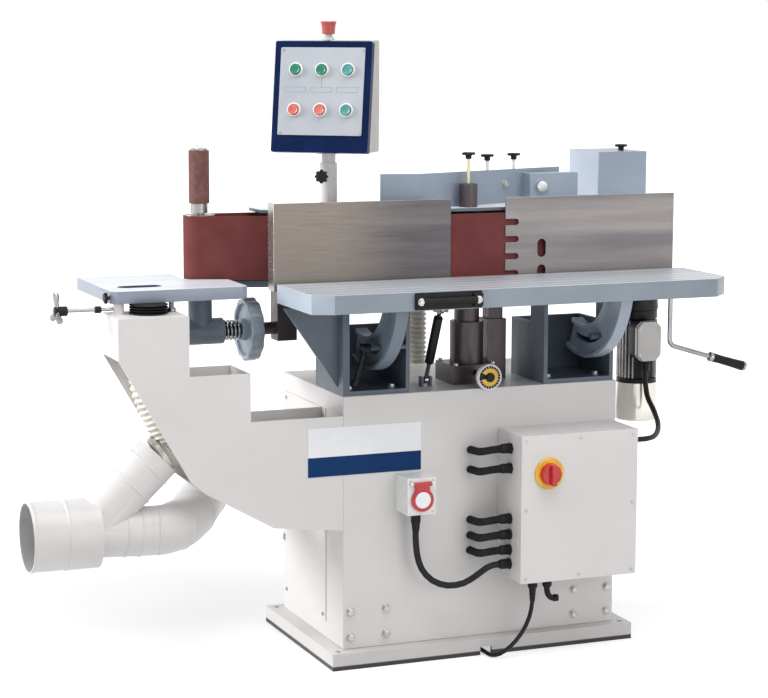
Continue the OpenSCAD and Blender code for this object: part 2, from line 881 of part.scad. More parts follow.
module lift_ram() {
    guide_in = guide_w / 2 - guide_wall - slide_gap;
    color("silver") {
        rod_z(ram_r, column_floor + lift_stroke + slide_gap, plate_low, column_x, column_y);
        slab([guide_x - guide_in, guide_y - guide_in, column_floor + lift_stroke + slide_gap],
            [guide_x + guide_in, guide_y + guide_in, plate_low]);
    }
}
module height_dial() {
    y1 = -pedestal_y - dial_gap;
    color("gold") {
        rod_y(dial_r, y1 - dial_t, y1, column_x, dial_z);
        rod_y(dial_r - 2 * dial_rim, y1 - dial_t - dial_rim, y1, column_x, dial_z);
        rod_y(dial_shaft_r, y1 - over, column_y - column_block[1] / 2 + dial_bore_l - slide_gap,
            column_x, dial_z);
    }
}

// Sanding head
module belt_shape(grow) {
    hull() {
        translate([drive_x, drive_y]) circle(r = drive_r + grow, $fn = 72);
        translate([idle_x, idle_y]) circle(r = idle_r + grow, $fn = 48);
        for (s = [-1, 1])
            translate([platen_x + s * (platen_l / 2 - platen_round),
                belt_front_y + belt_t + belt_gap + platen_round])
                circle(r = platen_round + grow, $fn = 32);
    }
}
module sanding_belt() {
    color("sienna") translate([0, 0, belt_low]) linear_extrude(belt_w) difference() {
        belt_shape(belt_gap + belt_t);
        belt_shape(belt_gap);
    }
}
// Plan outline of the head's plates, a little inside the belt
run_slope = (idle_y - idle_r - belt_front_y) / (platen_x - platen_l / 2 - idle_x);
function frame_outline(x_left, rear_left) = [
    [x_left, belt_front_y + plate_inset * 3 + (platen_x - platen_l / 2 - x_left) * run_slope],
    [platen_x - platen_l / 2, belt_front_y + plate_inset * 3], [platen_x + platen_l / 2,
        belt_front_y + plate_inset * 3],
    [drive_x + drive_r * outline_narrow_share, drive_y - drive_r * outline_wide_share],
        [drive_x + drive_r * outline_wide_share, drive_y - drive_r * outline_narrow_share],
    [drive_x + drive_r * outline_wide_share, drive_y + drive_r * outline_narrow_share],
        [drive_x + drive_r * outline_narrow_share, drive_y + drive_r * outline_wide_share],
    [x_left, rear_left]];
module head_frame() {
    color("slategray") difference() {
        union() {
            translate([0, 0, plate_low]) linear_extrude(plate_t)
                polygon(frame_outline(idle_x - idle_r * outline_end_share,
                    idle_y + idle_r * outline_end_share));
            translate([0, 0, cover_low]) linear_extrude(cover_t)
                polygon(frame_outline(cover_from, idle_y + idle_r * cover_end_share));
            slab([funnel[0], drive_y, cover_low], [funnel[1], funnel[2] + hood_wall * 3, cover_high]);
            for (p = column_posts) rod_z(column_post_r, plate_low, cover_high, p[0], p[1]);
            for (s = ear_left_shares) let (x = fence_left_x0 + fence_left_l * s)
                slab([x - ear_w / 2, fence_y + fence_t, plate_low], [x + ear_w / 2, idle_y - idle_r,
                    plate_high]);
            for (s = ear_right_shares) let (x = fence_right_x0 + fence_right_l * s)
                slab([x - ear_w / 2, fence_y + fence_t, plate_low], [x + ear_w / 2, drive_y, plate_high]);
        }
        rod_z(drive_shaft_r + run_fit, plate_low - over, plate_high + over, drive_x, drive_y);
        rod_z(drive_spindle_r + run_fit, cover_low - over, cover_high + over, drive_x, drive_y);
        rod_z(screw_r + run_fit, cover_low - over, cover_high + over, screw_x, screw_y);
        for (x = [0, belt_slack]) rod_z(shaft_slot_r, plate_low - over, plate_high + over, idle_x + x,
            idle_y);
        slab([idle_x, idle_y - shaft_slot_r, plate_low - over],
            [idle_x + belt_slack, idle_y + shaft_slot_r, plate_high + over]);
    }
}
module platen() {
    y0 = belt_front_y + belt_t + belt_gap;
    color("darkslategray") {
        slab([platen_x - platen_l / 2 + platen_round, y0, plate_high],
            [platen_x + platen_l / 2 - platen_round, y0 + platen_round, belt_high]);
        difference() {
            rod_z(screw_guide_r, cover_high, cover_high + screw_guide_h, screw_x, screw_y);
            rod_z(screw_r + run_fit, cover_high - over, cover_high + screw_guide_h + over, screw_x,
                screw_y);
        }
    }
}
module drive_drum() {
    color("silver") {
        rod_z(drive_r, belt_low - drum_end_gap, belt_high + drum_end_gap, drive_x, drive_y);
        rod_z(drive_shaft_r, plate_low - coupling_l, belt_low, drive_x, drive_y);
        rod_z(drive_spindle_r, belt_high, cover_high, drive_x, drive_y);
    }
}
casting_top = plate_low - casting_top_gap;
module idle_drum() {
    color("silver") {
        rod_z(idle_r, belt_low - drum_end_gap, belt_high + drum_end_gap, idle_x, idle_y);
        rod_z(idle_shaft_r, casting_top - shaft_hold, belt_low, idle_x, idle_y);
        rod_z(idle_spindle_r, belt_high, sleeve_low + sleeve_h, idle_x, idle_y);
        rod_z(sleeve_r - plate_inset, belt_high + cover_gap, sleeve_low, idle_x, idle_y);
    }
}

module sanding_sleeve() {
    color("saddlebrown") difference() {
        rod_z(sleeve_r, sleeve_low, sleeve_low + sleeve_h, idle_x, idle_y);
        rod_z(idle_spindle_r, sleeve_low - over, sleeve_low + sleeve_h + over, idle_x, idle_y);
    }
}
module tension_carriage() {
    color("gray") difference() {
        union() {
            rod_x(casting_r, casting_right - casting_l, casting_right, idle_y, tension_z);
            rod_z(casting_post_r, tension_z, casting_top, idle_x, idle_y);
        }
        rod_x(bar_r + run_fit, casting_right - casting_l - over, casting_right + over, idle_y, tension_z);
        rod_z(idle_shaft_r + run_fit, casting_top - shaft_hold - slide_gap, casting_top + over, idle_x,
            idle_y);
    }
}
module tension_bar() {
    color("black") {
        slab([bracket_x0, idle_y - bracket_d / 2, tension_z - bracket_drop],
            [bracket_x0 + bracket_w, idle_y + bracket_d / 2, plate_low]);
        rod_x(bar_r, casting_right - casting_l - bar_tail, bracket_x0 + over, idle_y, tension_z);
    }
}
module tension_spring() {
    l = wheel_hub_x - casting_right - 2 * seat_gap - 2 * spring_wire_r;
    steps = spring_turns * 8;
    path = [for (i = [0 : steps]) [casting_right + seat_gap + spring_wire_r + l * i / steps,
        idle_y + spring_r * cos(360 * i / 8), tension_z + spring_r * sin(360 * i / 8)]];
    echo(spring_gap = l / spring_turns - 2 * spring_wire_r);
    color("silver") solid_tube(path, spring_wire_r, 6);
}
module handwheel() {
    mid = wheel_hub_x + wheel_t / 2;
    color("gray") difference() {
        union() {
            rod_x(wheel_hub_r, wheel_hub_x, wheel_hub_x + wheel_t, idle_y, tension_z);
            rod_x(wheel_r, mid - wheel_web_t / 2, mid + wheel_web_t / 2, idle_y, tension_z);
            difference() {
                rod_x(wheel_r, mid - wheel_web_t, mid + wheel_web_t, idle_y, tension_z);
                rod_x(wheel_r - wheel_rim, mid - wheel_t, mid + wheel_t, idle_y, tension_z);
            }
        }
        rod_x(bar_r + run_fit, wheel_hub_x - over, wheel_hub_x + wheel_t + over, idle_y, tension_z);
    }
}
module fence_left() {
    color("lightgray") {
        slab([fence_left_x0, fence_y, fence_low], [fence_left_x1, fence_y + fence_t, fence_low + fence_h]);
        slab([fence_left_x0, fence_y, fence_low], [fence_left_x0 + fence_t, fence_y + fence_return,
            fence_low + fence_h]);
    }
}
module fence_right() {
    color("lightgray") difference() {
        slab([fence_right_x0, fence_y, fence_low], [fence_right_x1, fence_y + fence_t,
            fence_low + fence_h]);
        for (i = [0 : 3]) let (z = fence_low + fence_slot_low + i * fence_slot_pitch) {
            slab([fence_right_x0 - over, fence_y - over, z],
                [fence_right_x0 + fence_slot_l, fence_y + fence_t + over, z + fence_slot_h]);
            rod_y(fence_slot_h / 2, fence_y - over, fence_y + fence_t + over, fence_right_x0 + fence_slot_l,
                z + fence_slot_h / 2);
        }
        for (low = fence_window_lows) let (x = fence_right_x0 + fence_window_x, z = table_top + low) {
            slab([x, fence_y - over, z], [x + fence_window_w, fence_y + fence_t + over,
                z + fence_window_h - fence_window_w]);
            for (up = [0, fence_window_h - fence_window_w])
                rod_y(fence_window_w / 2, fence_y - over, fence_y + fence_t + over,
                    x + fence_window_w / 2, z + up);
        }
    }
}
module rear_hood() {
    color("lightsteelblue") {
        for (i = [0 : len(hood_route) - 2]) let (a = hood_route[i], b = hood_route[i + 1], d = b - a)
            translate([a[0], a[1], cover_high]) rotate([0, 0, atan2(d[1], d[0])])
                cube([norm(d), hood_wall, hood_top - cover_high]);
        translate([hood_bracket_x, hood_bracket_y, cover_high]) cube(hood_bracket);
        rod_y(hood_bolt_r, hood_bracket_y - hood_bolt_h, hood_bracket_y + over,
            hood_bracket_x + hood_bolt_set,
            cover_high + hood_bracket[2] * hood_bolt_share);
        difference() {
            union() {
                slab([funnel[0], funnel[2], funnel_low], [funnel[1], funnel[3], cover_low]);
                rod_z(spigot_r, funnel_low - spigot_l, funnel_low + over, spigot_x, spigot_y);
            }
            slab([funnel[0] + hood_wall, funnel[2] - over, funnel_low + hood_wall],
                [funnel[1] - hood_wall, funnel[3] - hood_wall, cover_low - hood_wall]);
            rod_z(spigot_r - hood_wall, funnel_low - spigot_l - over, funnel_low + 2 * hood_wall,
                spigot_x, spigot_y);
        }
    }
}
module end_hood() {
    x1 = end_hood_x + end_hood_w;
    y1 = end_hood_y + end_hood_d;
    top = cover_high + end_hood_h;
    color("lightsteelblue") difference() {
        union() {
            slab([end_hood_x, end_hood_y, cover_high], [x1, y1, top]);
            slab([end_hood_x, chute_y, chute_low], [x1, y1, cover_high + over]);
        }
        slab([end_hood_x + hood_wall, end_hood_y + hood_wall, cover_high - over],
            [x1 - hood_wall, y1 - hood_wall, top - hood_wall]);
        slab([end_hood_x + hood_wall, chute_y + hood_wall, chute_low - over],
            [x1 - hood_wall, y1 - hood_wall, cover_high + over]);
    }
}
module platen_screw() {
    color("black") {
        rod_z(screw_r, cover_low, screw_top, screw_x, screw_y);
        rod_z(screw_knob_r, screw_top - screw_knob_h, screw_top, screw_x, screw_y);
    }
}

// Drive motor under the driven drum
module drive_motor() {
    color("dimgray") difference() {
        union() {
            rod_z(motor_r, motor_low, plate_low, drive_x, drive_y);
            rod_z(motor_flange_r, plate_low - motor_flange_t, plate_low, drive_x, drive_y);
            slab([terminal_x - terminal_w / 2, drive_y - motor_r - terminal_d + terminal_seat,
                terminal_low],
                [terminal_x + terminal_w / 2, drive_y - motor_r + terminal_seat,
                    terminal_low + terminal_h]);
            rod_z(gland_r, terminal_low - gland_l, terminal_low + over, terminal_x, motor_route[0][1]);
        }
        rod_z(drive_shaft_r + run_fit, plate_low - coupling_l - slide_gap, plate_low + over, drive_x,
            drive_y);
    }
}
module fan_cover() {
    color("ivory") translate([drive_x, drive_y, motor_low - fan_l]) difference() {
        cylinder(r1 = motor_r + motor_flare, r2 = motor_r + motor_flare / 2, h = fan_l);
        translate([0, 0, hood_wall]) cylinder(r = motor_r - motor_flare, h = fan_l);
    }
}

// Electric box, switch, socket and glands
module electric_box() {
    y1 = -pedestal_y;
    color("gainsboro") difference() {
        slab([box_x0, box_y0 + box_cover_t, box_low], [box_x1, y1, box_low + box_h]);
        slab([box_x0 + box_wall, box_y0, box_low + box_wall],
            [box_x1 - box_wall, y1 - box_wall, box_low + box_h - box_wall]);
    }
}
module electric_cover() {
    color("white") difference() {
        slab([box_x0, box_y0, box_low], [box_x1, box_y0 + box_cover_t, box_low + box_h]);
        slab([box_x0 + box_wall, box_y0 + box_wall, box_low + box_wall],
            [box_x1 - box_wall, box_y0 + box_cover_t + over, box_low + box_h - box_wall]);
        rod_y(switch_shaft_r + run_fit, box_y0 - over, box_y0 + box_cover_t, switch_x, switch_z);
    }
}
module main_switch() {
    y0 = box_y0 - seat_gap;
    color("red") {
        rod_y(switch_plate_r, y0 - switch_plate_t, y0, switch_x, switch_z);
        rod_y(switch_r, y0 - switch_plate_t - switch_t, y0, switch_x, switch_z);
        slab([switch_x - switch_grip_w / 2, y0 - switch_plate_t - switch_t - switch_grip_t,
            switch_z - switch_r],
            [switch_x + switch_grip_w / 2, y0 - switch_plate_t, switch_z + switch_r]);
        rod_y(switch_shaft_r, y0 - over, box_y0 + box_cover_t, switch_x, switch_z);
    }
}
module gland_x(z) {
    rod_x(gland_r, box_x0 - gland_l, box_x0, gland_y, z);
}
module cable_glands() {
    color("black") {
        for (s = gland_height_shares) let (z = box_low + box_h * s) {
            gland_x(z);
            rod_x(conduit_r, conduit_x - conduit_r, box_x0 - gland_l + over, gland_y, z);
            rod_y(conduit_r - over, gland_y, -pedestal_y, conduit_x, z);
        }
        gland_x(socket_gland_z);
        rod_z(gland_r, box_low - gland_l, box_low, mains_gland_x, gland_y);
        rod_x(gland_r, box_x1, box_x1 + gland_l, gland_y, motor_gland_z);
        rod_z(gland_r, socket_z0 - gland_l, socket_z0, socket_x0 + socket_w / 2,
            -pedestal_y - socket_d / 2);
    }
}
module socket_box() {
    x = socket_x0 + socket_w / 2;
    y0 = -pedestal_y - socket_d;
    color("lightgray") difference() {
        union() {
            slab([socket_x0, y0, socket_z0], [socket_x0 + socket_w, -pedestal_y, socket_z0 + socket_h]);
            for (s = [-1, 1]) let (from = x + s * lid_w / 2 - hinge_r, to = from + 2 * hinge_r) {
                rod_x(hinge_r, from, to, y0 - hinge_gap - hinge_r, lid_hinge_z);
                slab([from, y0 - hinge_gap - hinge_r, lid_hinge_z - hinge_r],
                    [to, y0 + over, lid_hinge_z + hinge_r]);
            }
        }
        rod_y(socket_hole_r, y0 - over, y0 + socket_hole_d, x, socket_hole_z);
        rod_x(hinge_pin_r + run_fit, x - lid_w, x + lid_w, y0 - hinge_gap - hinge_r, lid_hinge_z);
    }
}
module socket_lid() {
    x = socket_x0 + socket_w / 2;
    y1 = -pedestal_y - socket_d - hinge_gap;
    hinge_y = y1 - hinge_r;
    inner = lid_w / 2 - hinge_r - hinge_gap;
    color("firebrick") {
        rod_y(lid_r, y1 - lid_t, y1, x, socket_hole_z);
        slab([x - lid_neck_w / 2, y1 - lid_t, socket_hole_z],
            [x + lid_neck_w / 2, y1, lid_hinge_z - hinge_r - hinge_gap]);
        slab([x - inner, y1 - lid_t, lid_hinge_z - hinge_r - hinge_gap - over], [x + inner, hinge_y,
            lid_hinge_z]);
        rod_x(hinge_r, x - inner, x + inner, hinge_y, lid_hinge_z);
        rod_x(hinge_pin_r, x - lid_w / 2 - hinge_r, x + lid_w / 2 + hinge_r, hinge_y, lid_hinge_z);
    }
}

// Cords, straight between the first two and the last two points so that they end square
function cord_path(p, steps) =
    concat([p[0]], curve([for (i = [1 : len(p) - 2]) p[i]], steps), [p[len(p) - 1]]);
module socket_cable() {
    color("black") solid_tube(cord_path(socket_route, cable_steps), socket_cable_d / 2, 10);
}
module motor_cable() {
    color("black") solid_tube(cord_path(motor_route, cable_steps), motor_cable_d / 2, 10);
}
module mains_lead() {
    color("black") solid_tube(cord_path(mains_route, mains_steps), mains_d / 2, 10);
}
// Two layers: the lower one winds in, climbs where the spiral turns back, and the upper one winds out
function coil_point(turn) =
    let (back = turn - coil_layer_turns, r = coil_mean_r - coil_spread + coil_pitch * abs(back),
        climb = min(max((back + coil_climb) / (2 * coil_climb), 0), 1))
    [coil_x - r * cos(360 * turn), coil_y + r * sin(360 * turn), mains_d / 2 + coil_pitch * climb];
function coil_loops() = [for (i = [0 : 2 * coil_layer_turns * coil_rings]) coil_point(i / coil_rings)];
function coil_end() = coil_point(2 * coil_layer_turns);
// The end lifts gently off the coil into the plug, which lies on the floor
function coil_lift(t) = coil_end() + [coil_tail * t, 0, (plug_r - coil_end()[2]) * t * t * (3 - 2 * t)];
function coil_path() = concat(coil_loops(),
    [for (k = [1 : coil_tail_rings]) coil_lift(k / coil_tail_rings)],
    [coil_lift(1) + [mains_d, 0, 0]]);
function coil_gap(p) = min([for (i = [0 : len(p) - 1], j = [i + coil_rings - 6 : 1 : len(p) - 1])
    norm(p[i] - p[j])]) - mains_d;
module mains_coil() {
    echo(coil_gap = coil_gap(coil_loops()),
        coil_length = 360 * PI / 180 * coil_mean_r * 2 * coil_layer_turns);
    color("black") solid_tube(coil_path(), mains_d / 2, coil_sides);
}
module mains_plug() {
    color("firebrick") translate(coil_lift(1) + [mains_d, 0, 0]) rotate([0, 90, 0]) {
        cylinder(r = plug_grip_r, h = plug_grip_l);
        translate([0, 0, plug_grip_l]) cylinder(r = plug_r, h = plug_l);
        translate([0, 0, plug_grip_l + plug_l]) cylinder(r = plug_nose_r, h = plug_nose_l);
    }
}

// Dust extraction
module duct_shape(shrink) {
    start = [junction_x, duct_y, mouth_z];
    past = shrink > 0 ? over : 0;
    rod_x(mouth_r - shrink, mouth_x - past, junction_x, duct_y, mouth_z);
    rod_x(mouth_r + mouth_step - shrink, mouth_x + mouth_spigot_l + shrink,
        junction_x + junction_lap - shrink, duct_y, mouth_z);
    upper = [upper_end[0], duct_y, upper_end[1]];
    lower = [lower_end[0], duct_y, lower_end[1]];
    rod_between(start, upper + past * unit(upper - start), branch_r - branch_step - shrink);
    rod_between(start, lower + (branch_trim + past) * unit(lower - start), branch_r - shrink);
}
module dust_duct() {
    half = branch_r + branch_trim;
    color("white") difference() {
        duct_shape(0);
        duct_shape(duct_wall);
        slab([lower_end[0] - seat_gap, duct_y - half, lower_end[1] - half],
            [lower_end[0] + 2 * branch_trim, duct_y + half, lower_end[1] + half]);
    }
}
module rear_duct() {
    low = curve(duct_route, duct_steps);
    foot = duct_route[len(duct_route) - 1];
    high = funnel_low - spigot_l - seat_gap;
    rise = high - foot[2];
    ribs = [for (i = [1 : 2 * rear_hose_ribs]) [foot[0], foot[1],
        foot[2] + rise * i / (2 * rear_hose_ribs)]];
    path = concat(low, ribs);
    n = len(low);
    outer = [for (i = [0 : len(path) - 1])
        i < n - 7 ? branch_r : i < n ? hose_r : (i - n) % 2 == 0 ? hose_r : hose_r - rib_h];
    inner = [for (i = [0 : len(path) - 1]) (i < n - 7 ? branch_r : hose_r - rib_h) - hose_wall];
    color("ivory") hollow_tube(path, outer, inner, 16);
}
module tower_hose() {
    top = [bellows_x, tower_hose_y, arm_top - arm_wall - seat_gap];
    foot = [upper_end[0], duct_y, upper_end[1]];
    along = unit(foot - [junction_x, duct_y, mouth_z]);
    start = foot + along * seat_gap * 3;
    path = curve([start, start + along * hose_r, [bellows_x, tower_hose_y, (top[2] + start[2]) / 2],
        top - [0, 0, hose_r], top], tower_hose_ribs / 2);
    outer = [for (i = [0 : len(path) - 1]) i % 2 == 0 ? hose_r - rib_h : hose_r];
    inner = [for (q = path) hose_r - rib_h - hose_wall];
    color("ivory") hollow_tube(path, outer, inner, 12);
}
function oval(share, z) = [for (k = [0 : bellows_sides - 1]) let (a = 360 * k / bellows_sides)
    [share * bellows_rx * cos(a), share * bellows_ry * sin(a), z]];
module bellows() {
    rings = 2 * bellows_folds + 1;
    step = (end_table_low - arm_top - seat_gap) / (rings - 1);
    outer = [for (i = [0 : rings - 1]) each oval(i % 2 == 0 ? bellows_dip_share : 1, i * step)];
    inner = [for (i = [0 : rings - 1]) each oval(bellows_bore_share, i * step)];
    color("black") translate([bellows_x, bellows_y, arm_top])
        hollow_skin(outer, inner, rings, bellows_sides);
}

// Control panel, in its own frame: face towards minus Y, origin on the post's axis at mid height
module at_panel() {
    translate([post_x, post_y, panel_mid]) rotate([0, 0, -panel_yaw]) children();
}
face_y = -panel_d / 2 - bezel_t;
module on_face() {
    translate([0, face_y, 0]) rotate([-panel_lean, 0, 0]) children();
}
module panel_post() {
    color("gainsboro") difference() {
        union() {
            rod_z(post_flange_r, pedestal_top, pedestal_top + post_flange_t, post_x, post_y);
            rod_z(post_r, pedestal_top, post_top, post_x, post_y);
            translate([post_x, post_y, star_z]) rotate([0, 0, -star_turn])
                rod_y(star_boss_r, -post_r - star_boss_l, 0, 0, 0);
        }
        rod_z(stem_r + run_fit, stem_low - slide_gap, post_top + over, post_x, post_y);
        translate([post_x, post_y, star_z]) rotate([0, 0, -star_turn])
            rod_y(star_stem_r + run_fit, -post_r - star_boss_l - over, 0, 0, 0);
    }
}
module panel_stem() {
    color("gainsboro") rod_z(stem_r, stem_low, panel_low + stem_seat, post_x, post_y);
}
module star_knob() {
    y1 = -post_r - star_boss_l - seat_gap;
    color("black") translate([post_x, post_y, star_z]) rotate([0, 0, -star_turn]) {
        rod_y(star_r - star_lobe_r, y1 - star_t, y1, 0, 0);
        for (k = [0 : star_lobes - 1]) let (a = 360 * k / star_lobes)
            rod_y(star_lobe_r, y1 - star_t, y1, (star_r - star_lobe_r) * cos(a),
                (star_r - star_lobe_r) * sin(a));
        rod_y(star_stem_r, y1 - over, y1 + star_stem_l - star_boss_l, 0, 0);
    }
}
// Side view of the housing: a wedge behind the leaning face
function housing_profile() = let (half = panel_h / 2, top = half * tan(panel_lean))
    [[face_y + bezel_t - top, -half], [face_y + bezel_t + top, half], [panel_d / 2, half], [panel_d / 2,
        -half]];
module panel_box() {
    color("midnightblue") at_panel() difference() {
        union() {
            translate([-panel_w / 2 + bezel_lip, 0, 0]) rotate([90, 0, 90])
                linear_extrude(panel_w - 2 * bezel_lip) polygon(housing_profile());
            on_face() slab([-panel_w / 2, 0, -panel_h / 2], [panel_w / 2, bezel_t, panel_h / 2]);
            on_face() slab([-panel_w / 2 + plate_edge, -plate_out, -panel_h / 2 + plate_foot],
                [panel_w / 2 - plate_edge, over, panel_h / 2 - plate_edge]);
            for (i = [0 : 5]) at_button(i) rod_y(button_ring_r, -plate_out - plate_out, over, 0, 0);
            rod_z(stop_collar_r, panel_h / 2 - over, panel_h / 2 + stop_collar_h, 0, 0);
        }
        difference() {
            slab([-panel_w / 2 + 3 * bezel_lip, -panel_d / 2 + bezel_t, -panel_h / 2 + 3 * bezel_lip],
                [panel_w / 2 - 3 * bezel_lip, panel_d / 2 - bezel_lip, panel_h / 2 - 3 * bezel_lip]);
            rod_z(stem_r + 2 * bezel_lip, -panel_h / 2, -panel_h / 2 + stem_seat + 2 * bezel_lip, 0, 0);
        }
        for (i = [0 : 5]) at_button(i) rod_y(button_bore + run_fit, -button_ring_r,
            button_in + button_travel, 0, 0);
        rod_z(stop_stem_r + run_fit, panel_h / 2 - stop_stem_l - stop_travel,
            panel_h / 2 + stop_collar_h + over, 0, 0);
        rod_z(stem_r + run_fit, -panel_h / 2 - over, -panel_h / 2 + stem_seat + slide_gap, 0, 0);
    }
}
module at_button(i) {
    on_face() translate([panel_w * button_column_shares[i % 3], 0,
        panel_h * button_row_shares[floor(i / 3)]])
        children();
}
module push_button(i, c) {
    color(c) at_panel() at_button(i) {
        rod_y(button_r, -2 * plate_out - button_out, -2 * plate_out - button_travel - seat_gap, 0, 0);
        rod_y(button_bore, -2 * plate_out - button_out, button_in - seat_gap, 0, 0);
    }
}
module emergency_stop() {
    low = panel_h / 2 + stop_collar_h + stop_travel + seat_gap;
    color("red") at_panel() {
        translate([0, 0, low]) cylinder(r1 = stop_foot_r, r2 = stop_r, h = stop_h);
        rod_z(stop_stem_r, panel_h / 2 - stop_stem_l, low + over, 0, 0);
    }
}

// Work table and what moves with it
function table_outline(inset) = [[table_x0 + inset, table_rear], [table_x0 + inset,
    table_front + chamfer_d + inset],
    [table_x0 + chamfer_l + inset, table_front + inset], [table_x1 - chamfer_l - inset,
        table_front + inset],
    [table_x1 - inset, table_front + chamfer_l + inset], [table_x1 - inset, table_rear]];
module main_table() {
    lug = gas_eye_t / 2 + gas_lug_gap;
    color("slategray") difference() {
        union() {
            difference() {
                translate([0, 0, table_under]) linear_extrude(table_t) polygon(table_outline(0));
                translate([0, 0, table_under - over]) linear_extrude(table_t - table_plate_t + over)
                    polygon(table_outline(apron_t));
                slab([table_x0 + apron_t, table_rear - apron_t, table_under - over],
                    [table_x1 - apron_t, table_rear + over, table_soffit]);
            }
            for (s = [-1, 1])
                slab([gas_x + s * (lug + gas_lug_t / 2) - gas_lug_t / 2, gas_top_y - gas_lug_half,
                    gas_top_z - gas_lug_half],
                    [gas_x + s * (lug + gas_lug_t / 2) + gas_lug_t / 2, gas_top_y + gas_lug_half,
                        table_soffit + over]);
            rod_x(gas_pin_r, gas_x - lug - over, gas_x + lug + over, gas_top_y, gas_top_z);
            rod_z(crank_hub_r, table_under, table_soffit + over, crank_x, crank_y);
        }
        rod_z(crank_r + run_fit, table_under - over, table_under + crank_socket + slide_gap, crank_x,
            crank_y);
    }
}
module trunnions() {
    color("lightsteelblue") for (x = [arc_left_x, arc_right_x]) {
        difference() {
            tilt_arc(arc_r0, arc_r1, arc_t, arc_from, arc_to, x);
            tilt_arc(slot_r - slot_w / 2, slot_r + slot_w / 2, arc_t + 2 * over,
                stud_angle - table_tilt - slot_spare, stud_angle + slot_spare, x);
        }
        tilt_arc(arc_r1 - rim_t, arc_r1, rim_w, arc_from, arc_to, x);
        tilt_arc(arc_r0, arc_r0 + rim_t, rim_w, arc_from, arc_to, x);
        slab([x - saddle_w / 2, table_rear - arc_r1 * sin(arc_to), table_soffit - table_plate_t],
            [x + saddle_w / 2, table_rear - arc_r0 * saddle_share, table_soffit]);
    }
}
module table_handle() {
    z = table_under + table_t / 2;
    color("black") {
        slab([table_handle_x - table_handle_l / 2, table_front - table_handle_d, z - table_handle_h / 2],
            [table_handle_x + table_handle_l / 2, table_front, z + table_handle_h / 2]);
        for (s = [-1, 1])
            translate([table_handle_x + s * (table_handle_l / 2 - table_handle_d),
                table_front - table_handle_d, z])
                rotate([90, 0, 0]) cylinder(r = front_bolt_r, h = front_bolt_h, $fn = 6);
    }
}
module crank_lever() {
    low = [crank_x, crank_y, table_under - crank_drop];
    knee = low + [crank_reach, 0, -crank_fall];
    tip = knee + grip_l * unit(knee - low);
    color("silver") {
        rod_z(crank_r, low[2], table_under + crank_socket, crank_x, crank_y);
        translate(low) sphere(r = crank_knuckle_r);
        rod_between(low, knee + grip_l / 4 * unit(knee - low), crank_r);
        rod_between(knee, tip, grip_r);
        rod_z(crank_hub_r, table_under - crank_hub_h, table_under - seat_gap, crank_x, crank_y);
    }
}

// Gas spring, built along its own axis from the foot's pin
module on_gas_axis() {
    translate([gas_x, gas_foot_y, gas_foot_z]) rotate([gas_lean, 0, 0]) children();
}
module gas_cylinder() {
    top = gas_l - gas_body_end;
    color("black") on_gas_axis() difference() {
        union() {
            rod_z(gas_body_r, top - gas_body_l, top, 0, 0);
            rod_z(gas_rod_r, top - over, gas_l - gas_eye_bore, 0, 0);
            rod_x(gas_eye_r, -gas_eye_t / 2, gas_eye_t / 2, 0, gas_l);
        }
        rod_x(gas_eye_bore, -gas_eye_t, gas_eye_t, 0, gas_l);
        rod_z(gas_rod_r + run_fit, top - gas_body_l - over, top - gas_foot_r, 0, 0);
    }
}
module gas_rod() {
    color("silver") on_gas_axis() difference() {
        union() {
            rod_z(gas_rod_r, 0, gas_l - gas_body_end - gas_foot_r - slide_gap, 0, 0);
            rod_x(gas_foot_r, -gas_eye_t / 2, gas_eye_t / 2, 0, 0);
        }
        rod_x(gas_pin_r + run_fit, -gas_eye_t, gas_eye_t, 0, 0);
    }
}

// End table over the dust tower
module end_table() {
    y_left = idle_y - idle_r - belt_t - belt_gap - notch_gap;
    cut_x = idle_x - idle_r - belt_t - belt_gap - notch_gap;
    color("lightgray") difference() {
        union() {
            translate([0, 0, end_table_low]) linear_extrude(end_table_t) polygon([
                [end_table_x0, end_table_y0 + end_chamfer], [end_table_x0 + end_chamfer, end_table_y0],
                [end_table_x1 - end_chamfer, end_table_y0], [end_table_x1, end_table_y0 + end_chamfer],
                [end_table_x1, end_table_y1], [end_table_x0, end_table_y1]]);
            for (x = end_post_xs)
                rod_z(end_post_r, end_table_low - end_post_l, end_table_low + over, x, end_post_y);
        }
        translate([0, 0, end_table_low - over]) linear_extrude(end_table_t + 2 * over) polygon([
            [cut_x, y_left + idle_r], [cut_x + idle_r * notch_bend_shares[0],
                y_left + idle_r * notch_bend_shares[1]], [cut_x + idle_r, y_left],
            [end_table_x1 + over, y_left - run_slope * (end_table_x1 - idle_x) - notch_gap],
            [end_table_x1 + over, end_table_y1 + over], [cut_x, end_table_y1 + over]]);
        for (s = [-1, 1])
            rod_z(end_hole_r, end_table_low - over, end_table_top + over,
                end_hole_x + s * end_hole_l / 2, end_hole_y);
        slab([end_hole_x - end_hole_l / 2, end_hole_y - end_hole_r, end_table_low - over],
            [end_hole_x + end_hole_l / 2, end_hole_y + end_hole_r, end_table_top + over]);
    }
}
module wing_knob() {
    x1 = end_post_xs[0] - end_post_r - seat_gap;
    hub = [x1 - wing_rod_l - wing_hub_l, end_post_y, wing_z];
    color("silver") {
        rod_x(wing_rod_r, x1 - wing_rod_l, x1, end_post_y, wing_z);
        rod_x(wing_hub_r, hub[0], hub[0] + wing_hub_l, end_post_y, wing_z);
        for (k = [0 : 2]) let (a = 90 + 120 * k)
            rod_between(hub + [wing_hub_l / 4, 0, 0], hub + wing_arm_l * [0, cos(a), sin(a)], wing_arm_r);
    }
}

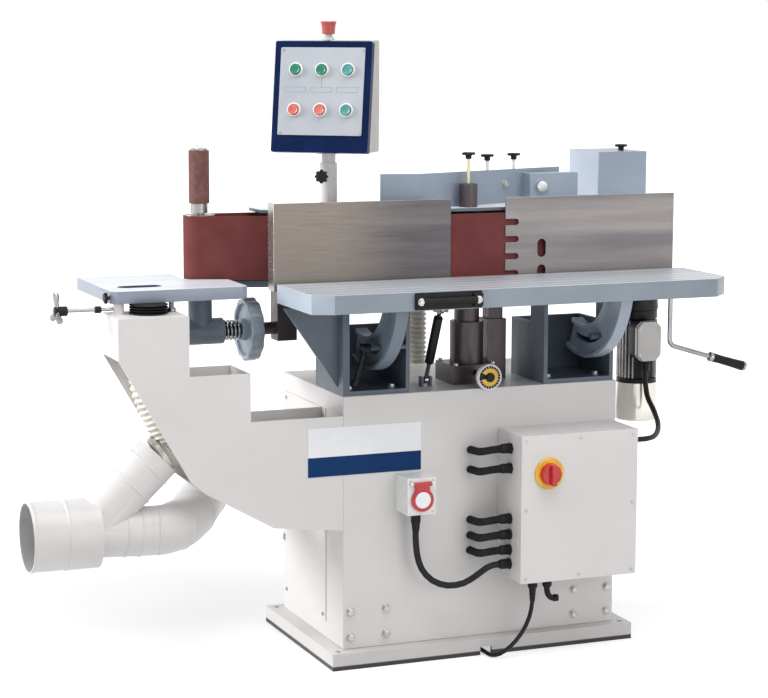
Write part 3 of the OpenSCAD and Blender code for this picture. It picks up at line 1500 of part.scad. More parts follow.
base_plate();
pedestal();
side_arm();
frame_bolts();
support_boxes();
lift_column();
electric_box();
electric_cover();
cable_glands();
main_switch();
socket_box();
socket_lid();
socket_cable();
motor_cable();
mains_lead();
mains_coil();
mains_plug();
dust_duct();
rear_duct();
tower_hose();
bellows();
height_dial();
panel_post();
panel_stem();
panel_box();
emergency_stop();
push_button(0, "green");  // button_1
push_button(1, "green");  // button_2
push_button(2, "teal");  // button_3
push_button(3, "salmon");  // button_4
push_button(4, "salmon");  // button_5
push_button(5, "teal");  // button_6
star_knob();
head_frame();
lift_ram();
platen();
sanding_belt();
rear_hood();
end_hood();
drive_motor();
fan_cover();
fence_left();
fence_right();
tension_bar();
tension_spring();
tension_carriage();
idle_drum();
sanding_sleeve();
drive_drum();
handwheel();
platen_screw();
main_table();
trunnions();
table_handle();
crank_lever();
gas_cylinder();
gas_rod();
clamp_lever();
end_table();
wing_knob();
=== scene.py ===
# Looks of an edge sander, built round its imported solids. Sizes are in millimetres where nothing else is said.
import json
import math

import bmesh
import bpy
from mathutils import Matrix, Vector

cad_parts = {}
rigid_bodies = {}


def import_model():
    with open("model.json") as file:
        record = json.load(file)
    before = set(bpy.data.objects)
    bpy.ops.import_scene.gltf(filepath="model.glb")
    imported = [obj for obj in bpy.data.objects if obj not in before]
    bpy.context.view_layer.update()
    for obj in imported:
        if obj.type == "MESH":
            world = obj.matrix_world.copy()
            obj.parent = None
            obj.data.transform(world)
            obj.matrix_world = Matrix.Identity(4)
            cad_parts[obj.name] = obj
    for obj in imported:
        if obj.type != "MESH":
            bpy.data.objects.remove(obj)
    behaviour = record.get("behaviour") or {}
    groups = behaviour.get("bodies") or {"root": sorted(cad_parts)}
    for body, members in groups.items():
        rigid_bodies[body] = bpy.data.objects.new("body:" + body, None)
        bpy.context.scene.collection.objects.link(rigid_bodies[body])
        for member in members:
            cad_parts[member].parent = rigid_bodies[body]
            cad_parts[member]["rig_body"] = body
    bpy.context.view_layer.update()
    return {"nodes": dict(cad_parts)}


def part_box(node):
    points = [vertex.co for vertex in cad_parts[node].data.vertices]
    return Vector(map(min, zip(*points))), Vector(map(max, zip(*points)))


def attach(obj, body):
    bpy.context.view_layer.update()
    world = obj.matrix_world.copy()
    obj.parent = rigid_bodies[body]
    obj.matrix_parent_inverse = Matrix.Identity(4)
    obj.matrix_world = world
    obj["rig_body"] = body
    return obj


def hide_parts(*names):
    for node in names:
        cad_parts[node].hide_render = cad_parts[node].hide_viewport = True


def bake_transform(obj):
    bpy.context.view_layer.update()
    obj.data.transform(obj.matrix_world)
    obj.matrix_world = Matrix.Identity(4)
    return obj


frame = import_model()
scene = bpy.context.scene
nodes = frame["nodes"]
print("loaded", len(nodes), "solids")


# Camera at the photograph's place
photoCamera = {"place": (-2123.09, -4821.59, 1459.19), "yaw": 22.078, "pitch": 8.2115,
    "roll": 0.164, "lens": 102.9}


def makeCamera(values):
    yaw, pitch, roll = (math.radians(values[k]) for k in ("yaw", "pitch", "roll"))
    forward = Vector((math.sin(yaw) * math.cos(pitch), math.cos(yaw) * math.cos(pitch), -math.sin(pitch)))
    right = Vector((math.cos(yaw), -math.sin(yaw), 0))
    up = right.cross(forward)
    turned = right * math.cos(roll) + up * math.sin(roll)
    raised = up * math.cos(roll) - right * math.sin(roll)
    data = bpy.data.cameras.new("photoCamera")
    data.lens = values["lens"]
    data.sensor_width = 36
    data.sensor_fit = "HORIZONTAL"
    data.clip_end = 100
    camera = bpy.data.objects.new("photoCamera", data)
    scene.collection.objects.link(camera)
    place = Vector(values["place"]) / 1000
    camera.matrix_world = Matrix([[turned[i], raised[i], -forward[i], place[i]] for i in range(3)]
        + [[0, 0, 0, 1]])
    scene.camera = camera


makeCamera(photoCamera)


# Materials
def linear(hexColour):
    parts = [int(hexColour[i:i + 2], 16) / 255 for i in (1, 3, 5)]
    return tuple(c / 12.92 if c <= 0.04045 else ((c + 0.055) / 1.055) ** 2.4 for c in parts) + (1.0,)


def addNode(tree, kind, inputs=(), **settings):
    node = tree.nodes.new(kind)
    for key, value in settings.items():
        setattr(node, key, value)
    for key, value in dict(inputs).items():
        if isinstance(value, bpy.types.NodeSocket):
            tree.links.new(value, node.inputs[key])
        else:
            node.inputs[key].default_value = value
    return node


def addMath(tree, operation, *values):
    return addNode(tree, "ShaderNodeMath", enumerate(values), operation=operation).outputs[0]


def makeSurface(name, light, dark, patch, grain, depth, rough, metallic=0.0, stretch=(1, 1, 1),
        coat=0.0, shine=0.5):
    # patch is the size of the slow colour drift and grain that of the fine texture, both in mm.
    # depth is the height of the grain, and rough the range of roughness over it.
    material = bpy.data.materials.new(name)
    material.use_nodes = True
    tree = material.node_tree
    shader = tree.nodes["Principled BSDF"]
    place = addNode(tree, "ShaderNodeTexCoord")
    lay = addNode(tree, "ShaderNodeMapping", {"Vector": place.outputs["Object"], "Scale": stretch})
    cloud = addNode(tree, "ShaderNodeTexNoise", {"Vector": lay.outputs[0],
            "Scale": 1000 / patch, "Detail": 4.0})
    drift = addNode(tree, "ShaderNodeMapRange", {"Value": cloud.outputs["Fac"],
            "From Min": 0.32, "From Max": 0.68})
    tones = addNode(tree, "ShaderNodeMix",
        {0: drift.outputs[0], 6: linear(dark), 7: linear(light)}, data_type="RGBA")
    speck = addNode(tree, "ShaderNodeTexNoise", {"Vector": lay.outputs[0],
            "Scale": 1000 / grain, "Detail": 2.0})
    gloss = addNode(tree, "ShaderNodeMapRange", {"Value": speck.outputs["Fac"], "From Min": 0.3,
            "From Max": 0.7, "To Min": rough[0], "To Max": rough[1]})
    bump = addNode(tree, "ShaderNodeBump", {"Height": speck.outputs["Fac"], "Strength": 0.6,
            "Distance": depth / 1000})
    tree.links.new(tones.outputs[2], shader.inputs["Base Color"])
    tree.links.new(gloss.outputs[0], shader.inputs["Roughness"])
    tree.links.new(bump.outputs[0], shader.inputs["Normal"])
    shader.inputs["Metallic"].default_value = metallic
    shader.inputs["Coat Weight"].default_value = coat
    shader.inputs["Specular IOR Level"].default_value = shine
    material["tones"] = tones.name
    return material


def shadeBy(material, axis, start, end, colour):
    # Gives way from colour at start to the material's own tones at end, along an axis of the part
    tree = material.node_tree
    shader = tree.nodes["Principled BSDF"]
    place = addNode(tree, "ShaderNodeTexCoord")
    parts = addNode(tree, "ShaderNodeSeparateXYZ", {0: place.outputs["Object"]})
    ramp = addNode(tree, "ShaderNodeMapRange", {"Value": parts.outputs[axis], "From Min": start / 1000,
            "From Max": end / 1000}, interpolation_type="SMOOTHSTEP")
    below = tree.nodes[material["tones"]].outputs[2]
    mix = addNode(tree, "ShaderNodeMix",
        {0: ramp.outputs[0], 6: linear(colour), 7: below}, data_type="RGBA")
    tree.links.new(mix.outputs[2], shader.inputs["Base Color"])


# Powder coat: satin white, with a fine orange peel drawn at 5 mm so that it shows at this distance.
# The base takes a darker copy of it as painted shade for the base's front, and has a dark line at the floor.
whitePowder = makeSurface("powder_coat_white", "#dfdcdb", "#d7d4d3", 260, 5, 0.04, (0.34, 0.46))
basePowderPaintedShade = makeSurface("powder_coat_base_painted_shade", "#d6d3d2", "#cbc8c7", 220, 5, 0.04, (0.36, 0.5))
shadeBy(basePowderPaintedShade, 2, 9, 12, "#2b2a29")
ductPowder = makeSurface("painted_duct_sheet", "#dedcdb", "#d2cfce", 140, 9, 0.06, (0.3, 0.42))
# Machine enamel on castings: smooth but rolling, with a little sand texture; duller inside, and darker there as
# painted shade
greyEnamel = makeSurface("machine_enamel_grey", "#7f8b99", "#717d8a", 120, 6, 0.12, (0.32, 0.46))
paleEnamel = makeSurface("machine_enamel_pale", "#94a1ae", "#8592a0", 160, 6, 0.1, (0.3, 0.42))
darkEnamel = makeSurface("machine_enamel_dark", "#6b7581", "#5b6570", 100, 6, 0.14, (0.34, 0.48), shine=0.3)
recessShadeEnamel = makeSurface("machine_enamel_painted_recess_shade", "#5a6370", "#4a525e", 100, 6, 0.14,
    (0.4, 0.55), shine=0.2)
# Painted sheet: flatter and glossier than the castings, with a paler copy that paints light on the faces that
# take it
hoodSheet = makeSurface("hood_sheet_paint", "#95a1b0", "#8895a4", 200, 5, 0.05, (0.28, 0.4))
hoodSheetPaintedLight = makeSurface("hood_sheet_painted_light", "#b2bdcb", "#a6b2c1", 200, 5, 0.05, (0.28, 0.4))
coverPaint = makeSurface("cover_sheet_paint", "#eef1f3", "#e2e6e9", 150, 5, 0.05, (0.3, 0.42))
# Zinc inside the duct: dull grey without a highlight
ductInside = makeSurface("galvanised_duct_inside", "#c9c7c6", "#b8b6b4", 60, 9, 0.06,
    (0.36, 0.5), shine=0.2)
# Ground cast iron: pale, cool, with long lines from the grinder
groundIron = makeSurface("ground_cast_iron", "#c6ccd2", "#b4bbc2", 60, 3, 0.04,
    (0.3, 0.46), 0.3, (0.05, 1, 1))
# Brushed steel: warm grey in broad soft patches along the fence
brushedSteel = makeSurface("brushed_steel_sheet", "#938d8b", "#726d70", 40, 4, 0.02,
    (0.34, 0.5), 0.4, (0.06, 1, 1))
fenceSteel = makeSurface("brushed_steel_left", "#6a6567", "#4f4a4d", 40, 4, 0.02,
    (0.34, 0.5), 0.4, (0.06, 1, 1))
shadeBy(fenceSteel, 0, -360, -120, "#80776f")
# Bright metals: fine turning lines on the drums, a sparkle on the bolts, a soft mirror on the rods
turnedSteel = makeSurface("turned_steel", "#a3a19f", "#94918f", 60, 6, 0.02,
    (0.26, 0.38), 0.85, (1, 1, 0.15))
zincBolt = makeSurface("zinc_plated_steel", "#c3c3c0", "#a4a4a2", 12, 2, 0.03, (0.2, 0.36), 0.9)
chrome = makeSurface("chromed_steel", "#9c9ea1", "#8a8c8f", 50, 8, 0.01, (0.1, 0.2), 1.0)
# Blackened steel: brown-black, oily sheen
blackSteel = makeSurface("blackened_steel", "#585053", "#453f42", 45, 4, 0.04, (0.28, 0.44), 0.45,
    (1, 1, 0.2), shine=0.3)
# Motor: dull cast fins before an almost black core, painted shade for the gaps between the fins and black on
# the adapter, over a bright cover
motorAlloy = makeSurface("cast_aluminium", "#c0bfbb", "#a8a7a4", 30, 4, 0.12, (0.3, 0.48), 0.5)
motorBlackWithFinGapShade = makeSurface("motor_black_painted_fin_gap_shade", "#2a2929", "#1d1c1c", 40, 4, 0.08,
    (0.36, 0.5), 0.2, shine=0.25)
motorPaint = makeSurface("polished_aluminium_cover", "#efece3", "#e2dfd5", 90, 5, 0.02, (0.12, 0.2), 0.5)
# Cloth belt with grains glued on: dull red-brown, grit drawn at 3 mm so that it shows
beltGrit = makeSurface("abrasive_cloth", "#784140", "#6d3a39", 60, 3, 0.2, (0.8, 0.95), shine=0.15)
sleeveGrit = makeSurface("abrasive_sleeve", "#7f5a54", "#6b4a46", 14, 3, 0.25, (0.7, 0.9), shine=0.2)
# Black plastic and cable jackets: even and matt, so that only the edges catch the light
blackNylon = makeSurface("moulded_nylon_black", "#19191c", "#101012", 18, 3, 0.06, (0.36, 0.52), shine=0.2)
blackRubber = makeSurface("pvc_jacket_black", "#171619", "#0f0e10", 20, 4, 0.04, (0.42, 0.58), shine=0.25)
# Moulded housings: a smooth satin skin with little texture
navyAbs = makeSurface("moulded_abs_navy", "#0e224c", "#0a1b40", 70, 3, 0.05, (0.26, 0.38), shine=0.08)
greyAbs = makeSurface("moulded_abs_grey", "#d6d4d1", "#c9c7c4", 60, 3, 0.04, (0.3, 0.44))
housingAbs = makeSurface("moulded_abs_housing", "#b9b7b4", "#aeaca9", 60, 3, 0.04, (0.3, 0.44))
whiteAbs = makeSurface("moulded_abs_white", "#f0f1ef", "#e4e6e4", 20, 2, 0.02, (0.24, 0.34))
# Foil, plates and printed lines: flat, even colour
paleFoil = makeSurface("polycarbonate_foil", "#b3b7be", "#abafb7", 90, 2, 0.02, (0.3, 0.4))
plateWhite = makeSurface("printed_plate_white", "#f4f5f8", "#ebedf1", 120, 3, 0.01, (0.24, 0.34))
plateBlue = makeSurface("printed_plate_blue", "#173c6d", "#133462", 120, 3, 0.01, (0.24, 0.34), shine=0.06)
greyLine = makeSurface("printed_line_grey", "#9799a0", "#8b8d94", 20, 2, 0.01, (0.3, 0.4))
# Caps, knobs and plugs: full colour under a sharp highlight
redGloss = makeSurface("gloss_plastic_red", "#c9262a", "#b21c21", 25, 4, 0.02, (0.18, 0.28), coat=0.2)
stopRed = makeSurface("emergency_stop_red", "#be4a40", "#ad3d34", 25, 4, 0.02, (0.22, 0.32), coat=0.15)
greenGloss = makeSurface("gloss_plastic_green", "#0a8466", "#067056", 14, 3, 0.02, (0.14, 0.22), coat=0.3)
tealGloss = makeSurface("gloss_plastic_teal", "#4f9c99", "#418986", 14, 3, 0.02, (0.14, 0.22), coat=0.3)
salmonGloss = makeSurface("gloss_plastic_salmon", "#d8726a", "#c85e57", 14, 3, 0.02, (0.14, 0.22), coat=0.3)
yellowGloss = makeSurface("gloss_plastic_yellow", "#f3c02c", "#e2ac1b", 25, 4, 0.02, (0.2, 0.3), coat=0.2)
# Hose: warm cream with a soft sheen
creamHose = makeSurface("polyurethane_hose_cream", "#e4dfd5", "#d1ccc0", 30, 4, 0.05, (0.3, 0.44))
print("materials", len(bpy.data.materials))


# Mesh tools, in millimetres
def addBox(shape, low, high, tone=0):
    made = [shape.verts.new([(low if i >> axis & 1 else high)[axis] for axis in range(3)])
        for i in range(8)]
    for corners in ((0, 1, 3, 2), (4, 6, 7, 5), (0, 4, 5, 1), (2, 3, 7, 6), (0, 2, 6, 4), (1, 5, 7, 3)):
        shape.faces.new([made[i] for i in corners]).material_index = tone


def addLathe(shape, base, axis, profile, sides=32, tone=0, lobes=0, lobeDepth=0.0, turn=0.0):
    base, axis = Vector(base), Vector(axis).normalized()
    side = (Vector((1, 0, 0)) if abs(axis.z) > 0.9 else Vector((0, 0, 1)).cross(axis)).normalized()
    other = axis.cross(side)
    widest = max(r for r, t in profile)
    rings = []
    hollow = profile[0] == profile[-1]  # a profile that comes back to its start leaves a bore
    for radius, along in profile[:-1] if hollow else profile:
        centre = base + axis * along
        if radius < 1e-6:
            rings.append([shape.verts.new(centre)])
            continue
        ring = []
        for k in range(sides):
            angle = 2 * math.pi * k / sides + turn
            r = radius - lobeDepth * (0.5 - 0.5 * math.cos(lobes * angle)) * (radius / widest) ** 3
            ring.append(shape.verts.new(centre + r * (math.cos(angle) * side + math.sin(angle) * other)))
        rings.append(ring)
    ends = [] if hollow else [rings[0], rings[-1]]
    for low, high in zip(rings, rings[1:] + rings[:1] if hollow else rings[1:]):
        for k in range(sides):
            m = (k + 1) % sides
            corners = [low[k % len(low)], low[m % len(low)], high[m % len(high)], high[k % len(high)]]
            kept = [v for i, v in enumerate(corners) if v not in corners[:i]]
            if len(kept) > 2:
                shape.faces.new(kept).material_index = tone
    for ring in ends:
        if len(ring) > 2:
            shape.faces.new(ring).material_index = tone


def softRod(radius, low, high, soft, steps=4):
    # Profile of a rod with rounded end edges, for addLathe
    arc = [(math.sin(math.pi / 2 * i / steps), 1 - math.cos(math.pi / 2 * i / steps))
        for i in range(steps + 1)]
    start = [(radius - soft + soft * s, low + soft * c) for s, c in arc]
    end = [(radius - soft + soft * s, high - soft * c) for s, c in reversed(arc)]
    return [(0, low)] + start + end + [(0, high)]


def addTube(shape, points, radius, sides=12, tone=0):
    points = [Vector(p) for p in points]
    radii = radius if isinstance(radius, list) else [radius] * len(points)
    angles = [2 * math.pi * k / sides for k in range(sides)]
    rings, side = [], None
    for i, point in enumerate(points):
        along = (points[min(i + 1, len(points) - 1)] - points[max(i - 1, 0)]).normalized()
        if side is None:
            side = Vector((0, 0, 1)) if abs(along.z) < 0.9 else Vector((1, 0, 0))
        side = (side - along * side.dot(along)).normalized()
        other = along.cross(side)
        ring = [point + radii[i] * (math.cos(a) * side + math.sin(a) * other) for a in angles]
        rings.append([shape.verts.new(corner) for corner in ring])
    for low, high in zip(rings, rings[1:]):
        for k in range(sides):
            m = (k + 1) % sides
            shape.faces.new((low[k], low[m], high[m], high[k])).material_index = tone
    for ring in (rings[0], rings[-1]):
        shape.faces.new(ring).material_index = tone


def addPrism(shape, outline, rise, tone=0):
    low = [shape.verts.new(p) for p in outline]
    high = [shape.verts.new(Vector(p) + Vector(rise)) for p in outline]
    count = len(low)
    for k in range(count):
        m = (k + 1) % count
        shape.faces.new((low[k], low[m], high[m], high[k])).material_index = tone
    shape.faces.new(low).material_index = tone
    shape.faces.new(high).material_index = tone


def addRing(shape, base, axis, inner, outer, low, high, sides=32, tone=0):
    soft = min((outer - inner), (high - low)) * 0.2
    addLathe(shape, base, axis, [(inner, low + soft), (inner + soft, low), (outer - soft, low),
            (outer, low + soft), (outer, high - soft), (outer - soft, high), (inner + soft, high),
            (inner, high - soft), (inner, low + soft)], sides, tone)


def smoothPath(points, steps):
    points = [Vector(p) for p in points]
    made = []
    for i in range(len(points) - 1):
        a, b = points[max(i - 1, 0)], points[i]
        c, d = points[i + 1], points[min(i + 2, len(points) - 1)]
        square, cube = 2 * a - 5 * b + 4 * c - d, 3 * b - a - 3 * c + d
        for s in range(steps):
            t = s / steps
            made.append((2 * b + (c - a) * t + square * t * t + cube * t ** 3) / 2)
    return made + [points[-1]]


def pathLength(points):
    return sum((b - a).length for a, b in zip(points, points[1:]))


def bevelEdges(shape, width, angle=35):
    sharp = [e for e in shape.edges if len(e.link_faces) == 2
        and e.calc_face_angle(0) > math.radians(angle)]
    bmesh.ops.bevel(shape, geom=sharp, offset=width, segments=2, profile=0.5,
        affect="EDGES", clamp_overlap=True)


def softenFaces(shape, sharp):
    # Only a face that goes on into its neighbour at a small angle is shaded smooth: flat faces stay flat
    for face in shape.faces:
        angles = [edge.calc_face_angle(0) for edge in face.edges if len(edge.link_faces) == 2]
        face.smooth = any(0.01 < angle < math.radians(sharp) for angle in angles)


def settle(piece, finishes, body, replaced=(), sharp=24):
    mesh = piece.data
    if not mesh.materials:
        for finish in finishes:
            mesh.materials.append(finish)
    mesh.set_sharp_from_angle(angle=math.radians(sharp))
    if body:
        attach(piece, body)
    if replaced:
        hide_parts(*replaced)
    return piece


def makeObject(name, shape):
    mesh = bpy.data.meshes.new(name)
    shape.to_mesh(mesh)
    shape.free()
    piece = bpy.data.objects.new(name, mesh)
    scene.collection.objects.link(piece)
    return piece


def makePiece(name, shape, finishes, body, replaced=(), bevel=0.0, move=None, sharp=24):
    bmesh.ops.recalc_face_normals(shape, faces=shape.faces)
    if bevel:
        bevelEdges(shape, bevel)
        sharp = min(sharp, 20)
    if move is not None:
        shape.transform(move)
    shape.transform(Matrix.Scale(0.001, 4))
    softenFaces(shape, sharp)
    return settle(makeObject(name, shape), finishes, body, replaced, sharp)


def dressNode(node, finishes, bevel=1.5, pick=None, sharp=20):
    # A copy of the solid's mesh with its edges broken, so that they catch the light
    shape = bmesh.new()
    shape.from_mesh(nodes[node].data)
    bmesh.ops.remove_doubles(shape, verts=shape.verts, dist=2e-6)
    if bevel:
        bmesh.ops.dissolve_limit(shape, angle_limit=math.radians(0.4), verts=shape.verts, edges=shape.edges)
        bevelEdges(shape, bevel / 1000)
    for face in shape.faces:
        face.material_index = pick(face.calc_center_median() * 1000, face.normal) if pick else 0
    softenFaces(shape, sharp)
    piece = makeObject("".join(w if i == 0 else w.capitalize() for i, w in enumerate(node.split("_"))),
        shape)
    old = piece.data.attributes.get("custom_normal")
    if old:
        piece.data.attributes.remove(old)
    return settle(piece, finishes, nodes[node]["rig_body"], (node,), sharp)


# Geometry node trees
def newTree(name, inputs):
    tree = bpy.data.node_groups.new(name, "GeometryNodeTree")
    for label, kind in inputs:
        tree.interface.new_socket(label, in_out="INPUT", socket_type=kind)
    tree.interface.new_socket("Geometry", in_out="OUTPUT", socket_type="NodeSocketGeometry")
    return tree, addNode(tree, "NodeGroupInput")


def finishTree(tree, geometry, finish):
    real = addNode(tree, "GeometryNodeRealizeInstances", {"Geometry": geometry})
    paint = addNode(tree, "GeometryNodeSetMaterial", {"Geometry": real.outputs[0], "Material": finish})
    addNode(tree, "NodeGroupOutput", {0: paint.outputs[0]})
    return tree


def makeCopiesTree():
    tree, given = newTree("copiesOnPoints", [("Geometry", "NodeSocketGeometry"),
            ("Pattern", "NodeSocketObject"), ("Size", "NodeSocketFloat"),
            ("Finish", "NodeSocketMaterial")])
    pattern = addNode(tree, "GeometryNodeObjectInfo", {"Object": given.outputs["Pattern"]})
    turn = addNode(tree, "GeometryNodeInputNamedAttribute", {"Name": "turn"}, data_type="FLOAT_VECTOR")
    put = addNode(tree, "GeometryNodeInstanceOnPoints",
        {"Points": given.outputs["Geometry"], "Instance": pattern.outputs["Geometry"],
            "Rotation": turn.outputs["Attribute"], "Scale": given.outputs["Size"]})
    return finishTree(tree, put.outputs[0], given.outputs["Finish"])


def makeRibbedTree():
    tree, given = newTree("ribbedHose", [("Geometry", "NodeSocketGeometry"),
            ("Radius", "NodeSocketFloat"), ("Rib depth", "NodeSocketFloat"), ("Ribs", "NodeSocketInt"),
            ("Sides", "NodeSocketInt"), ("Finish", "NodeSocketMaterial")])
    curve = addNode(tree, "GeometryNodeMeshToCurve", {"Mesh": given.outputs["Geometry"]})
    count = addMath(tree, "MULTIPLY", given.outputs["Ribs"], 8.0)
    even = addNode(tree, "GeometryNodeResampleCurve", {"Curve": curve.outputs[0], "Count": count})
    along = addNode(tree, "GeometryNodeSplineParameter")
    turns = addMath(tree, "MULTIPLY", along.outputs["Factor"], given.outputs["Ribs"])
    angle = addMath(tree, "MULTIPLY", turns, 2 * math.pi)
    wave = addMath(tree, "COSINE", angle)
    half = addMath(tree, "MULTIPLY", given.outputs["Rib depth"], 0.5)
    middle = addMath(tree, "SUBTRACT", given.outputs["Radius"], half)
    scale = addMath(tree, "MULTIPLY_ADD", wave, half, middle)
    circle = addNode(tree, "GeometryNodeCurvePrimitiveCircle",
        {"Resolution": given.outputs["Sides"], "Radius": 1.0})
    skin = addNode(tree, "GeometryNodeCurveToMesh",
        {"Curve": even.outputs[0], "Profile Curve": circle.outputs[0], "Scale": scale, "Fill Caps": True})
    return finishTree(tree, skin.outputs[0], given.outputs["Finish"])


def growPiece(name, tree, points, edges, values, turns=None):
    mesh = bpy.data.meshes.new(name)
    mesh.from_pydata([tuple(Vector(p) / 1000) for p in points], edges, [])
    if turns:
        layer = mesh.attributes.new("turn", "FLOAT_VECTOR", "POINT")
        layer.data.foreach_set("vector", [x for t in turns for x in t])
    piece = bpy.data.objects.new(name, mesh)
    scene.collection.objects.link(piece)
    modifier = piece.modifiers.new(tree.name, "NODES")
    modifier.node_group = tree
    for item in tree.interface.items_tree:
        if item.in_out == "INPUT" and item.name in values:
            modifier[item.identifier] = values[item.name]
    grown = bpy.data.meshes.new_from_object(piece.evaluated_get(bpy.context.evaluated_depsgraph_get()))
    grown.polygons.foreach_set("use_smooth", [True] * len(grown.polygons))
    piece.modifiers.remove(modifier)
    piece.data = grown
    return piece


copiesTree, ribbedTree = makeCopiesTree(), makeRibbedTree()


def makeCopies(name, pattern, spots, finish, body, replaced=(), size=1.0):
    # spots are pairs of a point and the direction that the pattern's +Z takes there
    bmesh.ops.recalc_face_normals(pattern, faces=pattern.faces)
    pattern.transform(Matrix.Scale(0.001, 4))
    model = makeObject(name + "Pattern", pattern)
    turns = [tuple(Vector(d).to_track_quat("Z", "Y").to_euler()) for p, d in spots]
    piece = growPiece(name, copiesTree, [p for p, d in spots], [],
        {"Pattern": model, "Size": size, "Finish": finish}, turns)
    bpy.data.objects.remove(model)
    return settle(piece, [finish], body, replaced)


def makeRibbed(name, points, radius, depth, ribs, sides, finish, body, replaced=()):
    edges = [(i, i + 1) for i in range(len(points) - 1)]
    values = {"Radius": radius / 1000, "Rib depth": depth / 1000, "Ribs": ribs,
        "Sides": sides, "Finish": finish}
    piece = growPiece(name, ribbedTree, points, edges, values)
    return settle(piece, [finish], body, replaced, 50)


# Cords
mainsLead = {"diameter": 10, "coilCentre": (69.175, 322), "coilRadius": 55, "spread": 14.175,
    "coilSteps": 24, "pitch": 10.8, "layerTurns": 2.625, "climb": 0.25, "tail": 96, "plugHeight": 26,
    "route": [(100, -277, 164), (100, -277, 130), (92, -278, 92), (70, -282, 56), (40, -285, 28),
        (14, -282, 12), (2, -264, 6), (0, -240, 5), (0, -160, 5), (0, -60, 5), (0, 60, 5), (0, 160, 5),
        (0, 240, 5), (0, 280, 5), (0, 322, 5)]}
socketCable = {"diameter": 15, "route": [(-185, -241.5, 335), (-185, -241.5, 322), (-185, -242, 296),
        (-182, -244, 260), (-172, -248, 226), (-148, -254, 198), (-112, -261, 184), (-74, -268, 188),
        (-44, -274, 205), (-20, -276.6, 221), (0, -277, 227), (14, -277, 227)]}
motorCable = {"diameter": 13, "route": [(512, -58, 626), (512, -58, 612), (512, -60, 592),
        (512, -72, 562), (510, -106, 536), (496, -154, 514), (468, -204, 502), (432, -250, 499),
        (402, -272, 499.4), (380, -277, 500), (368, -277, 500)]}


def coilPoint(turn):
    back = turn - mainsLead["layerTurns"]
    r = mainsLead["coilRadius"] - mainsLead["spread"] + mainsLead["pitch"] * abs(back)
    climb = min(max((back + mainsLead["climb"]) / (2 * mainsLead["climb"]), 0), 1)
    cx, cy = mainsLead["coilCentre"]
    angle = 2 * math.pi * turn
    return Vector((cx - r * math.cos(angle), cy + r * math.sin(angle),
            mainsLead["diameter"] / 2 + mainsLead["pitch"] * climb))


def makeCord(name, points, diameter, finish):
    data = bpy.data.curves.new(name, "CURVE")
    data.dimensions = "3D"
    data.bevel_depth = diameter / 2000
    data.bevel_resolution = 4
    data.resolution_u = 3
    data.use_fill_caps = True
    spline = data.splines.new("POLY")
    spline.points.add(len(points) - 1)
    for knot, point in zip(spline.points, points):
        knot.co = (*(point / 1000), 1)
    spline.use_smooth = True
    data.materials.append(finish)
    piece = bpy.data.objects.new(name, data)
    scene.collection.objects.link(piece)
    return piece


leadPoints = smoothPath(mainsLead["route"], 2)
turnsInAll = 2 * mainsLead["layerTurns"]
coilSteps = mainsLead["coilSteps"]
coilPoints = [coilPoint(i / coilSteps) for i in range(1, int(turnsInAll * coilSteps) + 1)]
coilEnd = coilPoints[-1]
tailPoints, tailSteps = [], 6
for k in range(1, tailSteps + 1):
    t = k / tailSteps
    tailPoints.append(coilEnd + Vector((mainsLead["tail"] * t, 0,
            (mainsLead["plugHeight"] - coilEnd.z) * t * t * (3 - 2 * t))))
plugStart = tailPoints[-1] + Vector((mainsLead["diameter"], 0, 0))
leadPath = leadPoints + coilPoints + tailPoints + [plugStart]
lead = makeCord("mainsLead", leadPath, mainsLead["diameter"], blackRubber)
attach(lead, "frame")
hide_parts("mains_lead", "mains_coil")

plugShape = bmesh.new()
addLathe(plugShape, plugStart, (1, 0, 0), [(0, -2), (6.5, -2), (7.5, 4), (9, 14), (11, 26), (13, 30),
        (13, 34), (0, 34)], 24, 1)
addLathe(plugShape, plugStart, (1, 0, 0), [(0, 33), (20, 33), (24, 36), (26, 40), (26, 60), (24.8, 62),
        (24.8, 78), (26, 80), (26, 93), (24, 96), (0, 96)], 40, 0)
addLathe(plugShape, plugStart, (1, 0, 0), [(0, 95), (22, 95), (22, 127), (20.5, 130), (18, 130),
        (18, 116), (0, 116)], 40, 2)
for k in range(5):
    a = math.radians(90 + 72 * k)
    foot = plugStart + Vector((114, 11 * math.cos(a), 11 * math.sin(a)))
    addLathe(plugShape, foot, (1, 0, 0), softRod(2.4, 0, 14, 1), 12, 3)
plug = makePiece("mainsPlug", plugShape, [redGloss, blackNylon, greyAbs, zincBolt], "frame",
    ("mains_plug",))

tieShape = bmesh.new()
cx, cy = mainsLead["coilCentre"]
inner, outer = cx + 33.5, cx + 76.2
band = [(outer, 1), (outer, 17), (outer - 2, 21.5), (outer - 6, 23), (inner + 6, 23), (inner + 2, 21.5),
    (inner, 17), (inner, 1)]
for (x0, z0), (x1, z1) in zip(band, band[1:]):
    out0 = Vector((x0 - (inner + outer) / 2, 0, z0 - 10)).normalized() * 1.4
    out1 = Vector((x1 - (inner + outer) / 2, 0, z1 - 10)).normalized() * 1.4
    addPrism(tieShape, [Vector((x0, cy - 34, z0)), Vector((x1, cy - 34, z1)),
            Vector((x1, cy - 34, z1)) + out1, Vector((x0, cy - 34, z0)) + out0], (0, 12, 0))
tie = makePiece("coilTie", tieShape, [blackNylon], "frame")

socketPath = smoothPath(socketCable["route"], 2)
socketLead = makeCord("socketCable", socketPath, socketCable["diameter"], blackRubber)
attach(socketLead, "frame")
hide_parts("socket_cable")

motorPath = smoothPath(motorCable["route"], 4)
cableShape = bmesh.new()
addTube(cableShape, motorPath, motorCable["diameter"] / 2, 16)
motorLead = makePiece("motorCable", cableShape, [blackRubber], None,
    ("motor_cable",), sharp=50)
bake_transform(motorLead)

